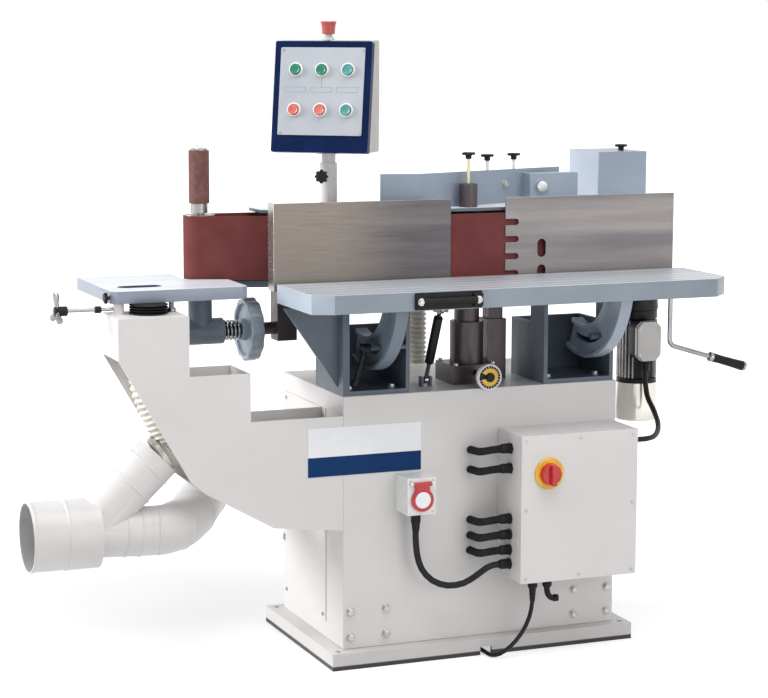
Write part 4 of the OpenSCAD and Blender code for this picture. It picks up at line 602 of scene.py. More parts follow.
# Tapered strain reliefs at the boxes
bootShape = bmesh.new()
addLathe(bootShape, (100, -277, 166), (0, 0, -1), [(0, 0), (9, 0), (9, 3), (8, 8), (8.4, 10), (7.4, 16),
        (7.8, 18), (6.6, 25), (6.9, 27), (5.6, 36), (0, 36)], 24)
addLathe(bootShape, (-185, -242, 337), (0, 0, -1), [(0, 0), (10, 0), (10, 4), (9.2, 12),
        (8, 22), (0, 22)], 24)
makePiece("strainReliefs", bootShape, [blackNylon], "frame")
print("cords", [round(pathLength(p)) for p in (leadPath, socketPath, motorPath)])


# Fasteners
def hexBolt(radius=8, height=6, washer=11):
    shape = bmesh.new()
    addLathe(shape, (0, 0, 0), (0, 0, 1), [(0, 0), (washer, 0), (washer, 1.6),
            (washer - 0.6, 2.1), (0, 2.1)], 24)
    addLathe(shape, (0, 0, 2), (0, 0, 1), [(0, 0), (radius, 0), (radius, height - 1),
            (radius - 1.2, height), (0, height)], 6)
    return shape


def socketScrew(radius, height):
    shape = bmesh.new()
    addLathe(shape, (0, 0, -0.2), (0, 0, 1), [(0, 0), (radius, 0), (radius, height * 0.45),
            (radius * 0.88, height * 0.85), (radius * 0.6, height), (radius * 0.45, height),
            (radius * 0.4, height * 0.5), (0, height * 0.5)], 12)
    return shape


def makeBolts(name, pattern, spots, body="frame", replaced=()):
    return makeCopies(name, pattern, spots, zincBolt, body, replaced)


def gridSpots(xs, ys, zs, direction):
    return [((x, y, z), direction) for x in xs for y in ys for z in zs]


front, upward = (0, -1, 0), (0, 0, 1)
frameBolts = {"half": 340, "face": -206, "foot": 40, "rise": 595, "across": (0.72, 0.98),
    "up": (0.047, 0.148), "feetX": (-322, -216, 187, 313), "feetY": -165, "feetZ": 645}
boltSpots = [((s * frameBolts["half"] * a, frameBolts["face"],
        frameBolts["foot"] + frameBolts["rise"] * b), front) for s in (-1, 1)
    for a in frameBolts["across"] for b in frameBolts["up"]]
boltSpots += gridSpots(frameBolts["feetX"], [frameBolts["feetY"]], [frameBolts["feetZ"]], upward)
makeBolts("frameBolts", hexBolt(), boltSpots, "frame", ("frame_bolts",))
coverScrews = {"x": (52, 191, 330), "y": [-335.8], "z": (202, 527), "middleX": (52, 330), "middleZ": [364]}
coverSpots = gridSpots(coverScrews["x"], coverScrews["y"], coverScrews["z"], front)
coverSpots += gridSpots(coverScrews["middleX"], coverScrews["y"], coverScrews["middleZ"], front)
makeBolts("coverScrews", socketScrew(4, 2.2), coverSpots)
columnScrews = {"x": (-38, 58), "y": (-133, -39), "z": [680]}
columnSpots = gridSpots(columnScrews["x"], columnScrews["y"], columnScrews["z"], upward)
makeBolts("columnScrews", socketScrew(6, 6), columnSpots)
print("fasteners")


# Base, pedestal and arm
# The base plate takes the darker powder coat: painted shade for its front
dressNode("base_plate", [basePowderPaintedShade], 3)
dressNode("pedestal", [whitePowder], 2.5)
dressNode("side_arm", [whitePowder], 2.5)
namePlate = {"x": (-437, -158), "z": (453, 566), "split": 0.4, "front": -207.2, "back": -205.9}
plateShape = bmesh.new()
(left, right), (foot, top) = namePlate["x"], namePlate["z"]
splitZ = foot + (top - foot) * namePlate["split"]
addBox(plateShape, (left, namePlate["front"], splitZ), (right, namePlate["back"], top), 0)
addBox(plateShape, (left, namePlate["front"], foot), (right, namePlate["back"], splitZ), 1)
makePiece("barePlate", plateShape, [plateWhite, plateBlue], "frame")

accessDoors = {"side": ((-353.5, -95, 80), (-350.9, 190, 590)),
    "rear": ((-300, 205.9, 90), (300, 208.5, 340))}
doorShape = bmesh.new()
for low, high in accessDoors.values():
    addBox(doorShape, low, high)
makePiece("accessDoors", doorShape, [whitePowder], "frame", bevel=1.0)
doorSpots = gridSpots([-353.5], (-80, 175), (95, 335, 575), (-1, 0, 0))
doorSpots += gridSpots((-285, 0, 285), [208.5], (105, 325), (0, 1, 0))
makeBolts("doorScrews", socketScrew(5, 3), doorSpots)
latchShape = bmesh.new()
addBox(latchShape, (-354.5, 184, 214), (-350.9, 203, 232))
addLathe(latchShape, (-354, 193.5, 223), (-1, 0, 0),
    [(0, 0), (6.5, 0), (6.5, 2.5), (5.5, 3.5), (0, 3.5)], 24)
makePiece("doorLatch", latchShape, [zincBolt], "frame", bevel=0.8)
louvres = {"x": (-150, -50, 50, 150), "z": (170, 190, 210, 230, 250, 270), "y": [207.5],
    "half": 36, "radius": 5}
louvre = bmesh.new()
half, radius = louvres["half"], louvres["radius"]
addLathe(louvre, (0, 0, 0), (1, 0, 0), [(0, -half), (radius, 2 - half), (radius, half - 2), (0, half)], 12)
louvreSpots = gridSpots(louvres["x"], louvres["y"], louvres["z"], (0, 1, 0))
makeCopies("rearLouvres", louvre, louvreSpots, whitePowder, "frame")
print("base and pedestal")


# Supports, column and lift
supportInside = {"x": ((-345, -188), (164, 341)), "y": (-194, -25), "low": 640}


def within(value, limits):
    return limits[0] < value < limits[1]


# Faces inside the support boxes take the darker enamel: painted shade in the hollows
def supportSides(middle, normal):
    across = any(within(middle.x, limits) for limits in supportInside["x"])
    return 1 if across and within(middle.y, supportInside["y"]) and middle.z > supportInside["low"] else 0


# The right trunnion takes the paler sheet paint: painted light
def rightSide(middle, normal):
    return 1 if middle.x > 0 else 0


dressNode("support_boxes", [darkEnamel, recessShadeEnamel], 1.5, supportSides)
dressNode("lift_column", [blackSteel], 2)
dressNode("lift_ram", [blackSteel], 0.8)
dressNode("trunnions", [greyEnamel, hoodSheetPaintedLight], 1.2, rightSide)

heightDial = {"centre": (10, -208, 662), "yellow": (11, 21), "arcSteps": 48,
    "ticks": 20, "tickRadius": 23.8}
dialShape = bmesh.new()
centre = heightDial["centre"]
addLathe(dialShape, centre, front, [(0, 0), (29, 0), (31, 2), (31, 12), (29.6, 14), (27.2, 14),
        (26.6, 12.4), (0, 12.4)], 64, 0)
addLathe(dialShape, centre, front, [(0, 12), (26.7, 12), (26.7, 12.8), (0, 12.8)], 64, 1)
addLathe(dialShape, centre, front, [(0, 12.8), (11, 12.8), (11, 17), (9.5, 19), (0, 19)], 40, 1)
addLathe(dialShape, centre, front, [(0, 0.5), (6, 0.5), (6, -84), (0, -84)], 24, 1)
arcSteps, r = heightDial["arcSteps"], heightDial["tickRadius"]
for k in range(arcSteps):
    a0, a1 = (math.radians(150 - 315 * (k + e) / arcSteps) for e in (0, 1))
    r0, r1 = heightDial["yellow"]
    corners = [(r0, a0), (r1, a0), (r1, a1), (r0, a1)]
    addPrism(dialShape, [Vector((centre[0] + d * math.cos(a), centre[1] - 12.6,
            centre[2] + d * math.sin(a))) for d, a in corners], (0, -0.8, 0), 2)
makePiece("heightDial", dialShape, [whiteAbs, blackNylon, yellowGloss], "height_dial",
    ("height_dial",))
tick = bmesh.new()
addBox(tick, (-0.5, -0.5, -2), (0.5, 0.5, 2))
tickSpots = []
for k in range(heightDial["ticks"]):
    a = math.radians(146 - 307 * k / (heightDial["ticks"] - 1))
    tickSpots.append(((centre[0] + r * math.cos(a), centre[1] - 13.3, centre[2] + r * math.sin(a)),
            (math.cos(a), 0, math.sin(a))))
makeCopies("dialTicks", tick, tickSpots, whiteAbs, "height_dial")

clampLever = {"stud": (-282, -193.9, 742), "reach": 84, "lean": 18}
leverShape = bmesh.new()
stud = Vector(clampLever["stud"])
addRing(leverShape, stud, (-1, 0, 0), 6.05, 13, 0, 20, 32)
down = Vector((-math.sin(math.radians(clampLever["lean"])), 0, -math.cos(math.radians(clampLever["lean"]))))
elbow = stud + Vector((-10, 0, 0))
addTube(leverShape, [elbow + down * d for d in (10, 30, 50, 70, clampLever["reach"])],
    [6.5, 5.4, 5.0, 5.4, 6.2], 16)
addLathe(leverShape, elbow + down * 70, down, [(0, 0), (5, 0), (7.4, 5), (8.4, 12), (7.6, 18),
        (4.6, 22), (0, 23)], 20)
makePiece("clampLever", leverShape, [blackNylon], "clamp_lever", ("clamp_lever",))

gasSpring = {"foot": (-115, -131, 650), "eye": (-115, -218, 835)}
gasFoot, gasEye = Vector(gasSpring["foot"]), Vector(gasSpring["eye"])
gasAxis = (gasEye - gasFoot).normalized()
gasLength = (gasEye - gasFoot).length
gasShape = bmesh.new()
gasProfile = [(0, 60), (5.2, 60), (5.2, 49), (8, 48.4), (10.2, 49.4), (11, 52), (11, 171), (10.2, 173.6),
    (8, 174.4), (5, 175), (5, gasLength - 13.5), (0, gasLength - 13.5)]
addLathe(gasShape, gasFoot, gasAxis, gasProfile, 32, 0)
addRing(gasShape, gasEye - Vector((5, 0, 0)), (1, 0, 0), 13, 18, 0, 10, 40, 1)
makePiece("gasCylinder", gasShape, [blackNylon, zincBolt], "gas_cylinder",
    ("gas_cylinder",))
rodShape = bmesh.new()
addLathe(rodShape, gasFoot, gasAxis, [(0, 8), (5, 8), (5, 164), (0, 164)], 24)
addRing(rodShape, gasFoot - Vector((5, 0, 0)), (1, 0, 0), 4.1, 9, 0, 10, 32)
makePiece("gasRod", rodShape, [chrome], "gas_rod", ("gas_rod",))
print("supports and lift")


# Work table
grooves = {"pitch": 44.0, "width": 0.2, "first": -352.0}
tree = groundIron.node_tree
place = addNode(tree, "ShaderNodeTexCoord")
parts = addNode(tree, "ShaderNodeSeparateXYZ", {0: place.outputs["Object"]})
shifted = addMath(tree, "ADD", parts.outputs[1], -grooves["first"] / 1000)
paced = addMath(tree, "MULTIPLY", shifted, 1000 / grooves["pitch"])
step = addMath(tree, "FRACT", paced)
line = addMath(tree, "LESS_THAN", step, grooves["width"])
below = tree.nodes[groundIron["tones"]].outputs[2]
shade = addNode(tree, "ShaderNodeMix", {0: line, 6: below, 7: linear("#9aa2aa")}, data_type="RGBA")
tree.links.new(shade.outputs[2], tree.nodes["Principled BSDF"].inputs["Base Color"])
# Other table finishes: a paler iron painting a highlight on the ground edges and a sheen on the end table's
# top, a painted shadow line under the edges, and enamel below
ironPaintedSheen = makeSurface("ground_cast_iron_painted_sheen", "#dee2e8", "#d2d7de", 60, 3, 0.04,
    (0.3, 0.46), 0.15, (0.05, 1, 1))
paintedEdgeShadow = makeSurface("machine_enamel_painted_edge_shadow", "#5d666f", "#525a63", 60, 6, 0.08, (0.34, 0.46), shine=0.3)
tableEnamel = makeSurface("machine_enamel_table", "#8e98a2", "#808b96", 200, 6, 0.08, (0.28, 0.4))
endEnamel = makeSurface("machine_enamel_end_table", "#9299a9", "#868d9d", 200, 6, 0.08, (0.28, 0.4))
tableLook = {"topFrom": 885, "endSocketX": (-832, -732), "endSocketY": (-68, -22)}


def tableFaces(middle, normal):
    if middle.z > tableLook["topFrom"]:
        # On the top: ground iron on the flat, a painted highlight on the bevels, a painted shadow line down the
        # front of the slab
        return 1 if normal.z > 0.95 else 3 if normal.z > 0.3 else 2
    # Left-facing faces below the top take the paler sheet paint: painted light
    return 4 if normal.x < -0.3 else 0


def endTableFaces(middle, normal):
    # The end table's top takes the paler iron: a painted sheen
    if normal.z > 0.9 and middle.z > tableLook["topFrom"]:
        return 1
    # Faces in the end table's socket take the darker enamel: painted shade in the recess
    inSocket = within(middle.x, tableLook["endSocketX"]) and within(middle.y, tableLook["endSocketY"])
    return 2 if inSocket else 0


dressNode("main_table", [tableEnamel, groundIron, paintedEdgeShadow, ironPaintedSheen, hoodSheetPaintedLight],
    1.8, tableFaces)
dressNode("end_table", [endEnamel, ironPaintedSheen, recessShadeEnamel], 2, endTableFaces)

tableGrip = {"x": -161.5, "y": -367, "z": 867.5, "length": 163, "height": 38, "out": 12, "ends": 70}
gripShape = bmesh.new()
g = tableGrip
addBox(gripShape, (g["x"] - g["length"] / 2, g["y"] - 4, g["z"] - g["height"] / 2),
    (g["x"] + g["length"] / 2, g["y"] + 0.2, g["z"] + g["height"] / 2))
for x in (g["x"] - g["ends"], g["x"] + g["ends"]):
    addBox(gripShape, (x - 11, g["y"] - g["out"], g["z"] - 15), (x + 11, g["y"] - 3, g["z"] + 15))
addTube(gripShape, [(g["x"] - 66, g["y"] - 9.4, g["z"]), (g["x"] - 40, g["y"] - 10, g["z"]),
        (g["x"] + 40, g["y"] - 10, g["z"]), (g["x"] + 66, g["y"] - 9.4, g["z"])], [9, 7.5, 7.5, 9], 24)
makePiece("tableGrip", gripShape, [blackNylon], "table", ("table_handle",), bevel=1.2)
gripSpots = gridSpots((g["x"] - g["ends"], g["x"] + g["ends"]), [g["y"] - g["out"]], [g["z"]], front)
makeBolts("gripScrews", hexBolt(6.5, 4, 8.5), gripSpots, "table")

crank = {"x": 470, "y": -250, "top": 846, "drop": 127, "reach": 109, "fall": 33}
low = Vector((crank["x"], crank["y"], crank["top"] - crank["drop"]))
knee = low + Vector((crank["reach"], 0, -crank["fall"]))
arm = (knee - low).normalized()
bend, bendSteps = 16, 8
path = [Vector((crank["x"], crank["y"], crank["top"] + 9)), Vector((crank["x"], crank["y"], low.z + 60))]
for k in range(bendSteps + 1):
    t = k / bendSteps
    a, b, c = low + Vector((0, 0, bend)), low, low + arm * bend
    path.append(a * (1 - t) ** 2 + b * 2 * t * (1 - t) + c * t * t)
path += [knee, knee + arm * 30]
crankShape = bmesh.new()
addTube(crankShape, path, 6, 16, 0)
addLathe(crankShape, knee, arm,
    [(0, 8), (11.4, 8), (10.4, 30), (11, 70), (12, 94), (11.4, 98), (0, 98)], 24, 1)
for profile in ([(0, -1.5), (8, -1.5), (10.4, 0), (11.8, 2), (11.8, 9), (0, 9)],
                [(0, 97), (12, 97), (12, 100), (10.8, 104.4), (6, 107.4), (0, 108)]):
    addLathe(crankShape, knee, arm, profile, 24, 0)
addLathe(crankShape, (crank["x"], crank["y"], crank["top"] - 14), upward, softRod(14, 0, 13.7, 2), 32, 0)
makePiece("crankLever", crankShape, [chrome, blackNylon], "crank", ("crank_lever",), sharp=40)
print("tables")


# Sanding head
headLook = {"coverFrom": 1040, "fenceEnd": -340}


def headSides(middle, normal):
    return 1 if normal.z > 0.9 and middle.z > headLook["coverFrom"] else 0


# Left faces of the end hood take the paler sheet paint: painted light
def leftFaces(middle, normal):
    return 1 if normal.x < -0.5 else 0


# Top faces of the fences and the left fence's end take bright zinc: a painted highlight
def fenceEdges(middle, normal):
    return 1 if normal.z > 0.3 or normal.x < -0.3 and middle.x < headLook["fenceEnd"] else 0


dressNode("head_frame", [darkEnamel, coverPaint], 1.0, headSides)
dressNode("platen", [blackSteel], 0.8)
dressNode("rear_hood", [hoodSheet], 0.8)
dressNode("end_hood", [hoodSheet, hoodSheetPaintedLight], 1.5, leftFaces)
dressNode("fence_left", [fenceSteel, zincBolt], 0.8, fenceEdges)
dressNode("fence_right", [brushedSteel, zincBolt], 0.8, fenceEdges)
dressNode("drive_drum", [turnedSteel], 1.0)
dressNode("idle_drum", [turnedSteel], 0.8)
dressNode("sanding_sleeve", [sleeveGrit], 0.6)
dressNode("sanding_belt", [beltGrit], 0)
sleeveLow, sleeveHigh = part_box("sanding_sleeve")
sleeveTop = [(sleeveLow[i] + sleeveHigh[i]) * 500 for i in (0, 1)] + [sleeveHigh[2] * 1000]
capShape = bmesh.new()
addLathe(capShape, sleeveTop, upward, [(0, -2), (18, -2), (20, 0.4), (20, 3), (18.5, 4.4), (0, 4.4)], 40, 0)
addLathe(capShape, sleeveTop, upward, [(0, 4), (8, 4), (8, 10), (6.8, 11.2), (0, 11.2)], 6, 1)
makePiece("sleeveCap", capShape, [turnedSteel, zincBolt], nodes["sanding_sleeve"]["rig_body"])


def addKnob(shape, x, y, top, foot, rodTone, knobTone):
    addLathe(shape, (x, y, foot), upward,
        [(0, 0), (4, 0), (4, top - foot - 12), (0, top - foot - 12)], 20, rodTone)
    addLathe(shape, (x, y, top - 16), upward, [(0, 0), (6.5, 0), (7.5, 1), (7.5, 8), (9, 9), (15, 9.4),
            (17, 10.6), (17, 14), (15.6, 15.6), (8, 16), (0, 16)], 48, knobTone, 4, 5.0)


# Passivated rod: a yellowish metal
brassRod = makeSurface("passivated_steel_rod", "#d8cfae", "#c4ba98", 14, 2, 0.03,
    (0.24, 0.36), 0.5, (1, 1, 0.2))
knobs = {"platen": (26, -54, 1178, 1041), "hood": ((110, 22, 1168, 1048), (194, 50, 1168, 1048),
        (506, 80, 1183, 1165.5))}
knobShape = bmesh.new()
addKnob(knobShape, *knobs["platen"], 0, 1)
makePiece("platenScrew", knobShape, [brassRod, blackNylon], "platen_screw", ("platen_screw",))
knobShape = bmesh.new()
for spot in knobs["hood"]:
    addKnob(knobShape, *spot, 0, 1)
makePiece("hoodKnobs", knobShape, [whiteAbs, blackNylon], "head")

boltShape = bmesh.new()
addLathe(boltShape, (245, 1, 1089), front, [(0, 0), (19, 0), (19, 3), (17.5, 4.5), (0, 4.5)], 40, 1)
addLathe(boltShape, (245, -3, 1089), front, [(0, 0), (15, 0), (15, 3), (12.5, 5), (0, 5.4)], 40, 0)
makePiece("bracketBolt", boltShape, [zincBolt, hoodSheet], "head")
wall = Vector((150, -443, 0)).normalized()
makeBolts("hoodBolts", hexBolt(8, 6, 10), [((158, 23.5, 1094), tuple(wall))], "head")
headSpots = [((x, y, 1048), upward) for x, y in ((-420, 70), (-330, 30), (60, -20), (330, 20),
        (330, 50), (560, 30))]
makeBolts("coverBolts", socketScrew(7, 6), headSpots, "head")
print("head")


# Belt tension
dressNode("tension_bar", [blackSteel], 1.2)
dressNode("tension_carriage", [darkEnamel], 1.5)
handwheel = {"x": -500, "y": 90, "z": 760, "lobes": 12}
wheelShape = bmesh.new()
wheelBase = (handwheel["x"], handwheel["y"], handwheel["z"])
addLathe(wheelShape, wheelBase, (1, 0, 0), [(15.05, 0), (24, 0), (26, 2), (26, 14), (30, 15.5),
        (60, 15.5), (62, 12), (62.5, 8.5), (65, 6.6), (72, 6.6), (75.2, 8.6), (76, 12), (76, 33),
        (75.2, 36.4), (72, 38.4), (65, 38.4), (62.5, 36.5), (62, 33), (60, 29.5), (30, 29.5), (26, 31),
        (26, 43), (24, 45), (15.05, 45), (15.05, 0)], 96, 0, handwheel["lobes"], 4.0)
makePiece("handwheel", wheelShape, [paleEnamel], "handwheel", ("handwheel",), sharp=30)

tensionSpring = {"x": (-543.7, -500.3), "y": 90, "z": 760, "radius": 22, "wire": 3,
    "turns": 4, "turnSteps": 24}
springShape = bmesh.new()
x0, x1 = tensionSpring["x"][0] + tensionSpring["wire"], tensionSpring["x"][1] - tensionSpring["wire"]
coilSteps = tensionSpring["turns"] * tensionSpring["turnSteps"]
coilPath = []
for i in range(coilSteps + 1):
    a = 2 * math.pi * i / tensionSpring["turnSteps"]
    coilPath.append((x0 + (x1 - x0) * i / coilSteps,
            tensionSpring["y"] + tensionSpring["radius"] * math.cos(a),
            tensionSpring["z"] + tensionSpring["radius"] * math.sin(a)))
addTube(springShape, coilPath, tensionSpring["wire"], 10)
spring = makePiece("tensionSpring", springShape, [chrome], None, ("tension_spring",), sharp=50)
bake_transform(spring)
print("belt tension")


# Drive motor
motor = {"x": 526, "y": 15, "fins": 32, "slots": 16, "boxX": (479, 545),
    "boxZ": (652, 752), "boxCorner": 15}
mx, my = motor["x"], motor["y"]
motorShape = bmesh.new()
# The almost black core paints the shade in the gaps between the fins
addLathe(motorShape, (mx, my, 0), upward, [(0, 590), (50, 590), (50, 600), (43, 603), (43, 748),
        (50, 752), (50, 772), (48, 776), (48, 846), (62, 848), (64, 850), (64, 864), (63, 866),
        (20.05, 866), (20.05, 853.5), (0, 853.5)], 64, 0)
(bx0, bx1), (bz0, bz1), cut = motor["boxX"], motor["boxZ"], motor["boxCorner"]
outline = [(bx0 + cut, bz0), (bx1 - cut, bz0), (bx1, bz0 + cut), (bx1, bz1 - cut), (bx1 - cut, bz1),
    (bx0 + cut, bz1), (bx0, bz1 - cut), (bx0, bz0 + cut)]
addPrism(motorShape, [Vector((x, -75, z)) for x, z in outline], (0, 14, 0), 1)
middleX, middleZ, shrink = (bx0 + bx1) / 2, (bz0 + bz1) / 2, 0.94
shrunk = [((x - middleX) * shrink + middleX, (z - middleZ) * shrink + middleZ) for x, z in outline]
addPrism(motorShape, [Vector((x, -62, z)) for x, z in shrunk], (0, 40, 0), 0)
makePiece("driveMotor", motorShape, [motorBlackWithFinGapShade, greyAbs], "head",
    ("drive_motor",), bevel=1.2)
adapterShape = bmesh.new()
addLathe(adapterShape, (mx, my, 0), upward, [(0, 774), (51, 774), (52, 778), (50, 800), (47, 830),
        (47, 848), (0, 848)], 48)
makePiece("motorAdapter", adapterShape, [motorBlackWithFinGapShade], "head")
fin = bmesh.new()
addBox(fin, (-1.8, -72, 0), (1.8, 72, 9))
finSpots = []
for k in range(motor["fins"]):
    a = 2 * math.pi * (k + 0.5) / motor["fins"]
    if abs(math.sin(a) + 1) < 0.12:
        continue
    finSpots.append(((mx + 41.5 * math.cos(a), my + 41.5 * math.sin(a), 675),
            (math.cos(a), math.sin(a), 0)))
makeCopies("motorFins", fin, finSpots, motorAlloy, "head")
makeBolts("terminalScrews", socketScrew(3, 2), gridSpots((487, 537), [-74.9], (670, 734), front), "head")
fanShape = bmesh.new()
addLathe(fanShape, (mx, my, 493), upward, [(0, 5), (30, 5), (30, 2), (46, 0), (51, 1.2), (54.4, 4.4),
        (56, 9), (55.4, 40), (54.2, 70), (53, 92), (53, 97), (50.5, 97), (0, 97)], 64)
makePiece("fanCover", fanShape, [motorPaint], "head", ("fan_cover",))
ventShape = bmesh.new()
for k in range(motor["slots"]):
    a = 2 * math.pi * k / motor["slots"]
    spoke = Vector((math.cos(a), math.sin(a), 0))
    across = Vector((-math.sin(a), math.cos(a), 0)) * 1.6
    inner, outer = Vector((mx, my, 497.2)) + spoke * 12, Vector((mx, my, 497.2)) + spoke * 28
    addPrism(ventShape, [inner - across, outer - across, outer + across, inner + across], (0, 0, 0.9))
makePiece("fanSlots", ventShape, [blackNylon], "head")
print("motor")


# Electrics
dressNode("electric_box", [whitePowder], 2)
dressNode("electric_cover", [whitePowder], 3)


def glandShape():
    shape = bmesh.new()
    addLathe(shape, (0, 0, -0.5), upward, [(0, 0), (12.5, 0), (12.5, 6), (11.5, 7), (0, 7)], 6)
    addLathe(shape, (0, 0, 6), upward, [(0, 0), (9.6, 0), (10.8, 1), (10.8, 9), (10.2, 10), (10.2, 11),
            (10.8, 12), (10.4, 16), (9.2, 19), (8, 20), (0, 20)], 24)
    return shape


conduits = {"heights": [502.0, 454.9, 334.8, 297.1, 260.8], "radius": 9.3, "ribDepth": 1.0, "ribs": 34}
glandSpots = [((40, -277, z), (-1, 0, 0)) for z in conduits["heights"] + [227]]
glandSpots += [((100, -277, 190), (0, 0, -1)), ((138, -277, 190), (0, 0, -1)),
    ((342, -277, 500), (1, 0, 0)), ((-185, -241.5, 361), (0, 0, -1))]
makeCopies("cableGlands", glandShape(), glandSpots, blackNylon, "frame",
    ("cable_glands",), 1.08)
makeCopies("motorGland", glandShape(), [((512, -58, 652), (0, 0, -1))], blackNylon, "head")
for number, z in enumerate(conduits["heights"], 1):
    elbow = smoothPath([(17, -277, z), (-8, -277, z - 1), (-20, -275.5, z - 2.5), (-28, -270, z - 4.5),
            (-31.5, -260, z - 6.5), (-32, -246, z - 8.5), (-32, -205.5, z - 11)], 6)
    makeRibbed("conduit" + str(number), elbow, conduits["radius"], conduits["ribDepth"], conduits["ribs"],
        20, blackNylon, "frame")
stubShape = bmesh.new()
stubPath = smoothPath([(138, -277, 172), (138, -277, 156), (141, -278, 143), (149, -280, 135),
        (158, -281, 134)], 5)
addTube(stubShape, stubPath, 7, 20)
addLathe(stubShape, stubPath[-1], stubPath[-1] - stubPath[-3], softRod(8.6, -6, 7, 2.4), 24)
makePiece("conduitStub", stubShape, [blackNylon], "frame", sharp=40)

mainSwitch = {"centre": (110, -336.3, 448), "plate": 37, "knob": 25}
switchShape = bmesh.new()
sc = mainSwitch["centre"]
plateR, knobR = mainSwitch["plate"], mainSwitch["knob"]
addLathe(switchShape, sc, front, [(0, 0), (plateR - 1, 0), (plateR, 1), (plateR, 3.6),
        (plateR - 1.2, 5), (0, 5)], 64, 0)
addLathe(switchShape, sc, front, [(0, 4.5), (knobR + 1, 4.5), (knobR, 8), (knobR - 0.6, 19),
        (knobR - 2, 21), (0, 21)], 48, 1, 10, 0.8)
makePiece("mainSwitch", switchShape, [yellowGloss, redGloss], "main_switch",
    ("main_switch",))
handleShape = bmesh.new()
addBox(handleShape, (sc[0] - 6, sc[1] - 33, sc[2] - knobR), (sc[0] + 6, sc[1] - 12, sc[2] + knobR))
makePiece("switchHandle", handleShape, [redGloss], "main_switch", bevel=2.4)

dressNode("socket_box", [whiteAbs], 2.5)
dressNode("socket_lid", [redGloss], 1.6)
socket = {"x": -185, "z": 397, "lid": -284.8, "front": -276.8, "mouth": -276}
lidShape = bmesh.new()
addLathe(lidShape, (socket["x"], socket["lid"], socket["z"]), front,
    [(0, 0), (19, 0), (19, 0.4), (18.4, 1), (0, 1)], 48)
makePiece("lidInlay", lidShape, [plateWhite], nodes["socket_lid"]["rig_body"])
collarShape = bmesh.new()
addRing(collarShape, (socket["x"], socket["front"], socket["z"]), front, 21, 25.5, 0, 0.9, 48)
addRing(collarShape, (socket["x"], socket["mouth"], socket["z"]), (0, 1, 0), 17, 20.9, 0, 30, 48)
makePiece("socketCollar", collarShape, [redGloss], "frame")
makeBolts("socketScrews", socketScrew(3, 1.8), gridSpots((-213, -157), [-276.9], (367, 442), front))
print("electrics")


# Dust extraction
ductParts = {"axis": (-136, 352), "boreEnd": -945, "bore": 77.5, "junction": (-942, -136, 352),
    "mouth": (-1066, -990), "branches": ((-772, -136, 515), (-798, -136, 345))}


def ductFaces(middle, normal):
    axisY, axisZ = ductParts["axis"]
    out = Vector((0, middle.y - axisY, middle.z - axisZ))
    inside = middle.x < ductParts["boreEnd"] and out.length < ductParts["bore"]
    return 1 if inside and out.dot(normal) < 0 else 0


dressNode("dust_duct", [ductPowder, ductInside], 0, ductFaces, sharp=30)
beadShape = bmesh.new()


def addBead(point, axis, radius, wide=8, rise=2.2):
    addLathe(beadShape, point, axis, [(radius - 0.5, -wide / 2), (radius + rise * 0.7, -wide / 4),
            (radius + rise, 0), (radius + rise * 0.7, wide / 4), (radius - 0.5, wide / 2),
            (radius - 0.5, -wide / 2)], 64)


for x, rise in zip(ductParts["mouth"], (1.6, 2.6)):
    addBead((x, *ductParts["axis"]), (1, 0, 0), 78, 9, rise)
start = Vector(ductParts["junction"])
for end in ductParts["branches"]:
    along = (Vector(end) - start).normalized()
    radius = 55 if end[2] > 400 else 56
    for back in (0.62, 0.86):
        addBead(start.lerp(Vector(end), back), along, radius)
makePiece("ductBeads", beadShape, [ductPowder], "frame", sharp=50)

rearDuct = {"radius": 56, "hose": 42, "taperStart": 110, "taperSteps": 30, "firstSeam": 15,
    "seamEvery": 13, "route": [(-798, -136, 345), (-779, -136, 345), (-760, -136, 345), (-715, -110, 348),
        (-670, -50, 354), (-620, 40, 362), (-570, 130, 372), (-510, 214, 384), (-430, 254, 396),
        (-330, 266, 404), (-230, 268, 408), (-140, 266, 414), (-68, 262, 436), (-22, 256, 480),
        (0, 251, 540), (5, 250, 600)]}
rearPath = smoothPath(rearDuct["route"], 10)
ductShape = bmesh.new()
rearRadii = []
for i in range(len(rearPath)):
    t = min(max((i - rearDuct["taperStart"]) / rearDuct["taperSteps"], 0), 1)
    rearRadii.append(rearDuct["radius"] + (rearDuct["hose"] - 1 - rearDuct["radius"]) * t * t * (3 - 2 * t))
addTube(ductShape, rearPath, rearRadii, 40)
makePiece("rearDuct", ductShape, [ductPowder], "frame", ("rear_duct",), sharp=50)
seamShape = bmesh.new()
for i in range(rearDuct["firstSeam"], len(rearPath) - 1, rearDuct["seamEvery"]):
    along = rearPath[i + 1] - rearPath[i - 1]
    radius = rearRadii[i]
    addLathe(seamShape, rearPath[i], along, [(radius - 0.5, -3), (radius + 1.2, -1.6), (radius + 1.6, 0),
            (radius + 1.2, 1.6), (radius - 0.5, 3), (radius - 0.5, -3)], 48)
makePiece("rearDuctSeams", seamShape, [ductPowder], "frame", sharp=50)
hoses = {"radius": 42, "rib": 5, "riser": (5, 250), "riserZ": (598, 864.7), "riserRibs": 22,
    "towerRibs": 26, "tower": [(-771.35, -136, 515.6), (-741, -136, 544.7), (-785, -115, 673.7),
        (-785, -115, 789.7), (-785, -115, 831.7)]}
foot, top = hoses["riserZ"]
riseSteps = 40
risePath = [Vector((*hoses["riser"], foot + (top - foot) * i / riseSteps)) for i in range(riseSteps + 1)]
riseHose = makeRibbed("riseHose", risePath, hoses["radius"], hoses["rib"], hoses["riserRibs"], 40,
    creamHose, None)
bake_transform(riseHose)
towerPath = smoothPath(hoses["tower"], 12)
makeRibbed("towerHose", towerPath, hoses["radius"], hoses["rib"], hoses["towerRibs"], 40, creamHose,
    "frame", ("tower_hose",))
clampShape = bmesh.new()
along = (towerPath[1] - towerPath[0]).normalized()
addRing(clampShape, towerPath[0] + along * 8, along, 41, 43.4, -6, 6, 48)
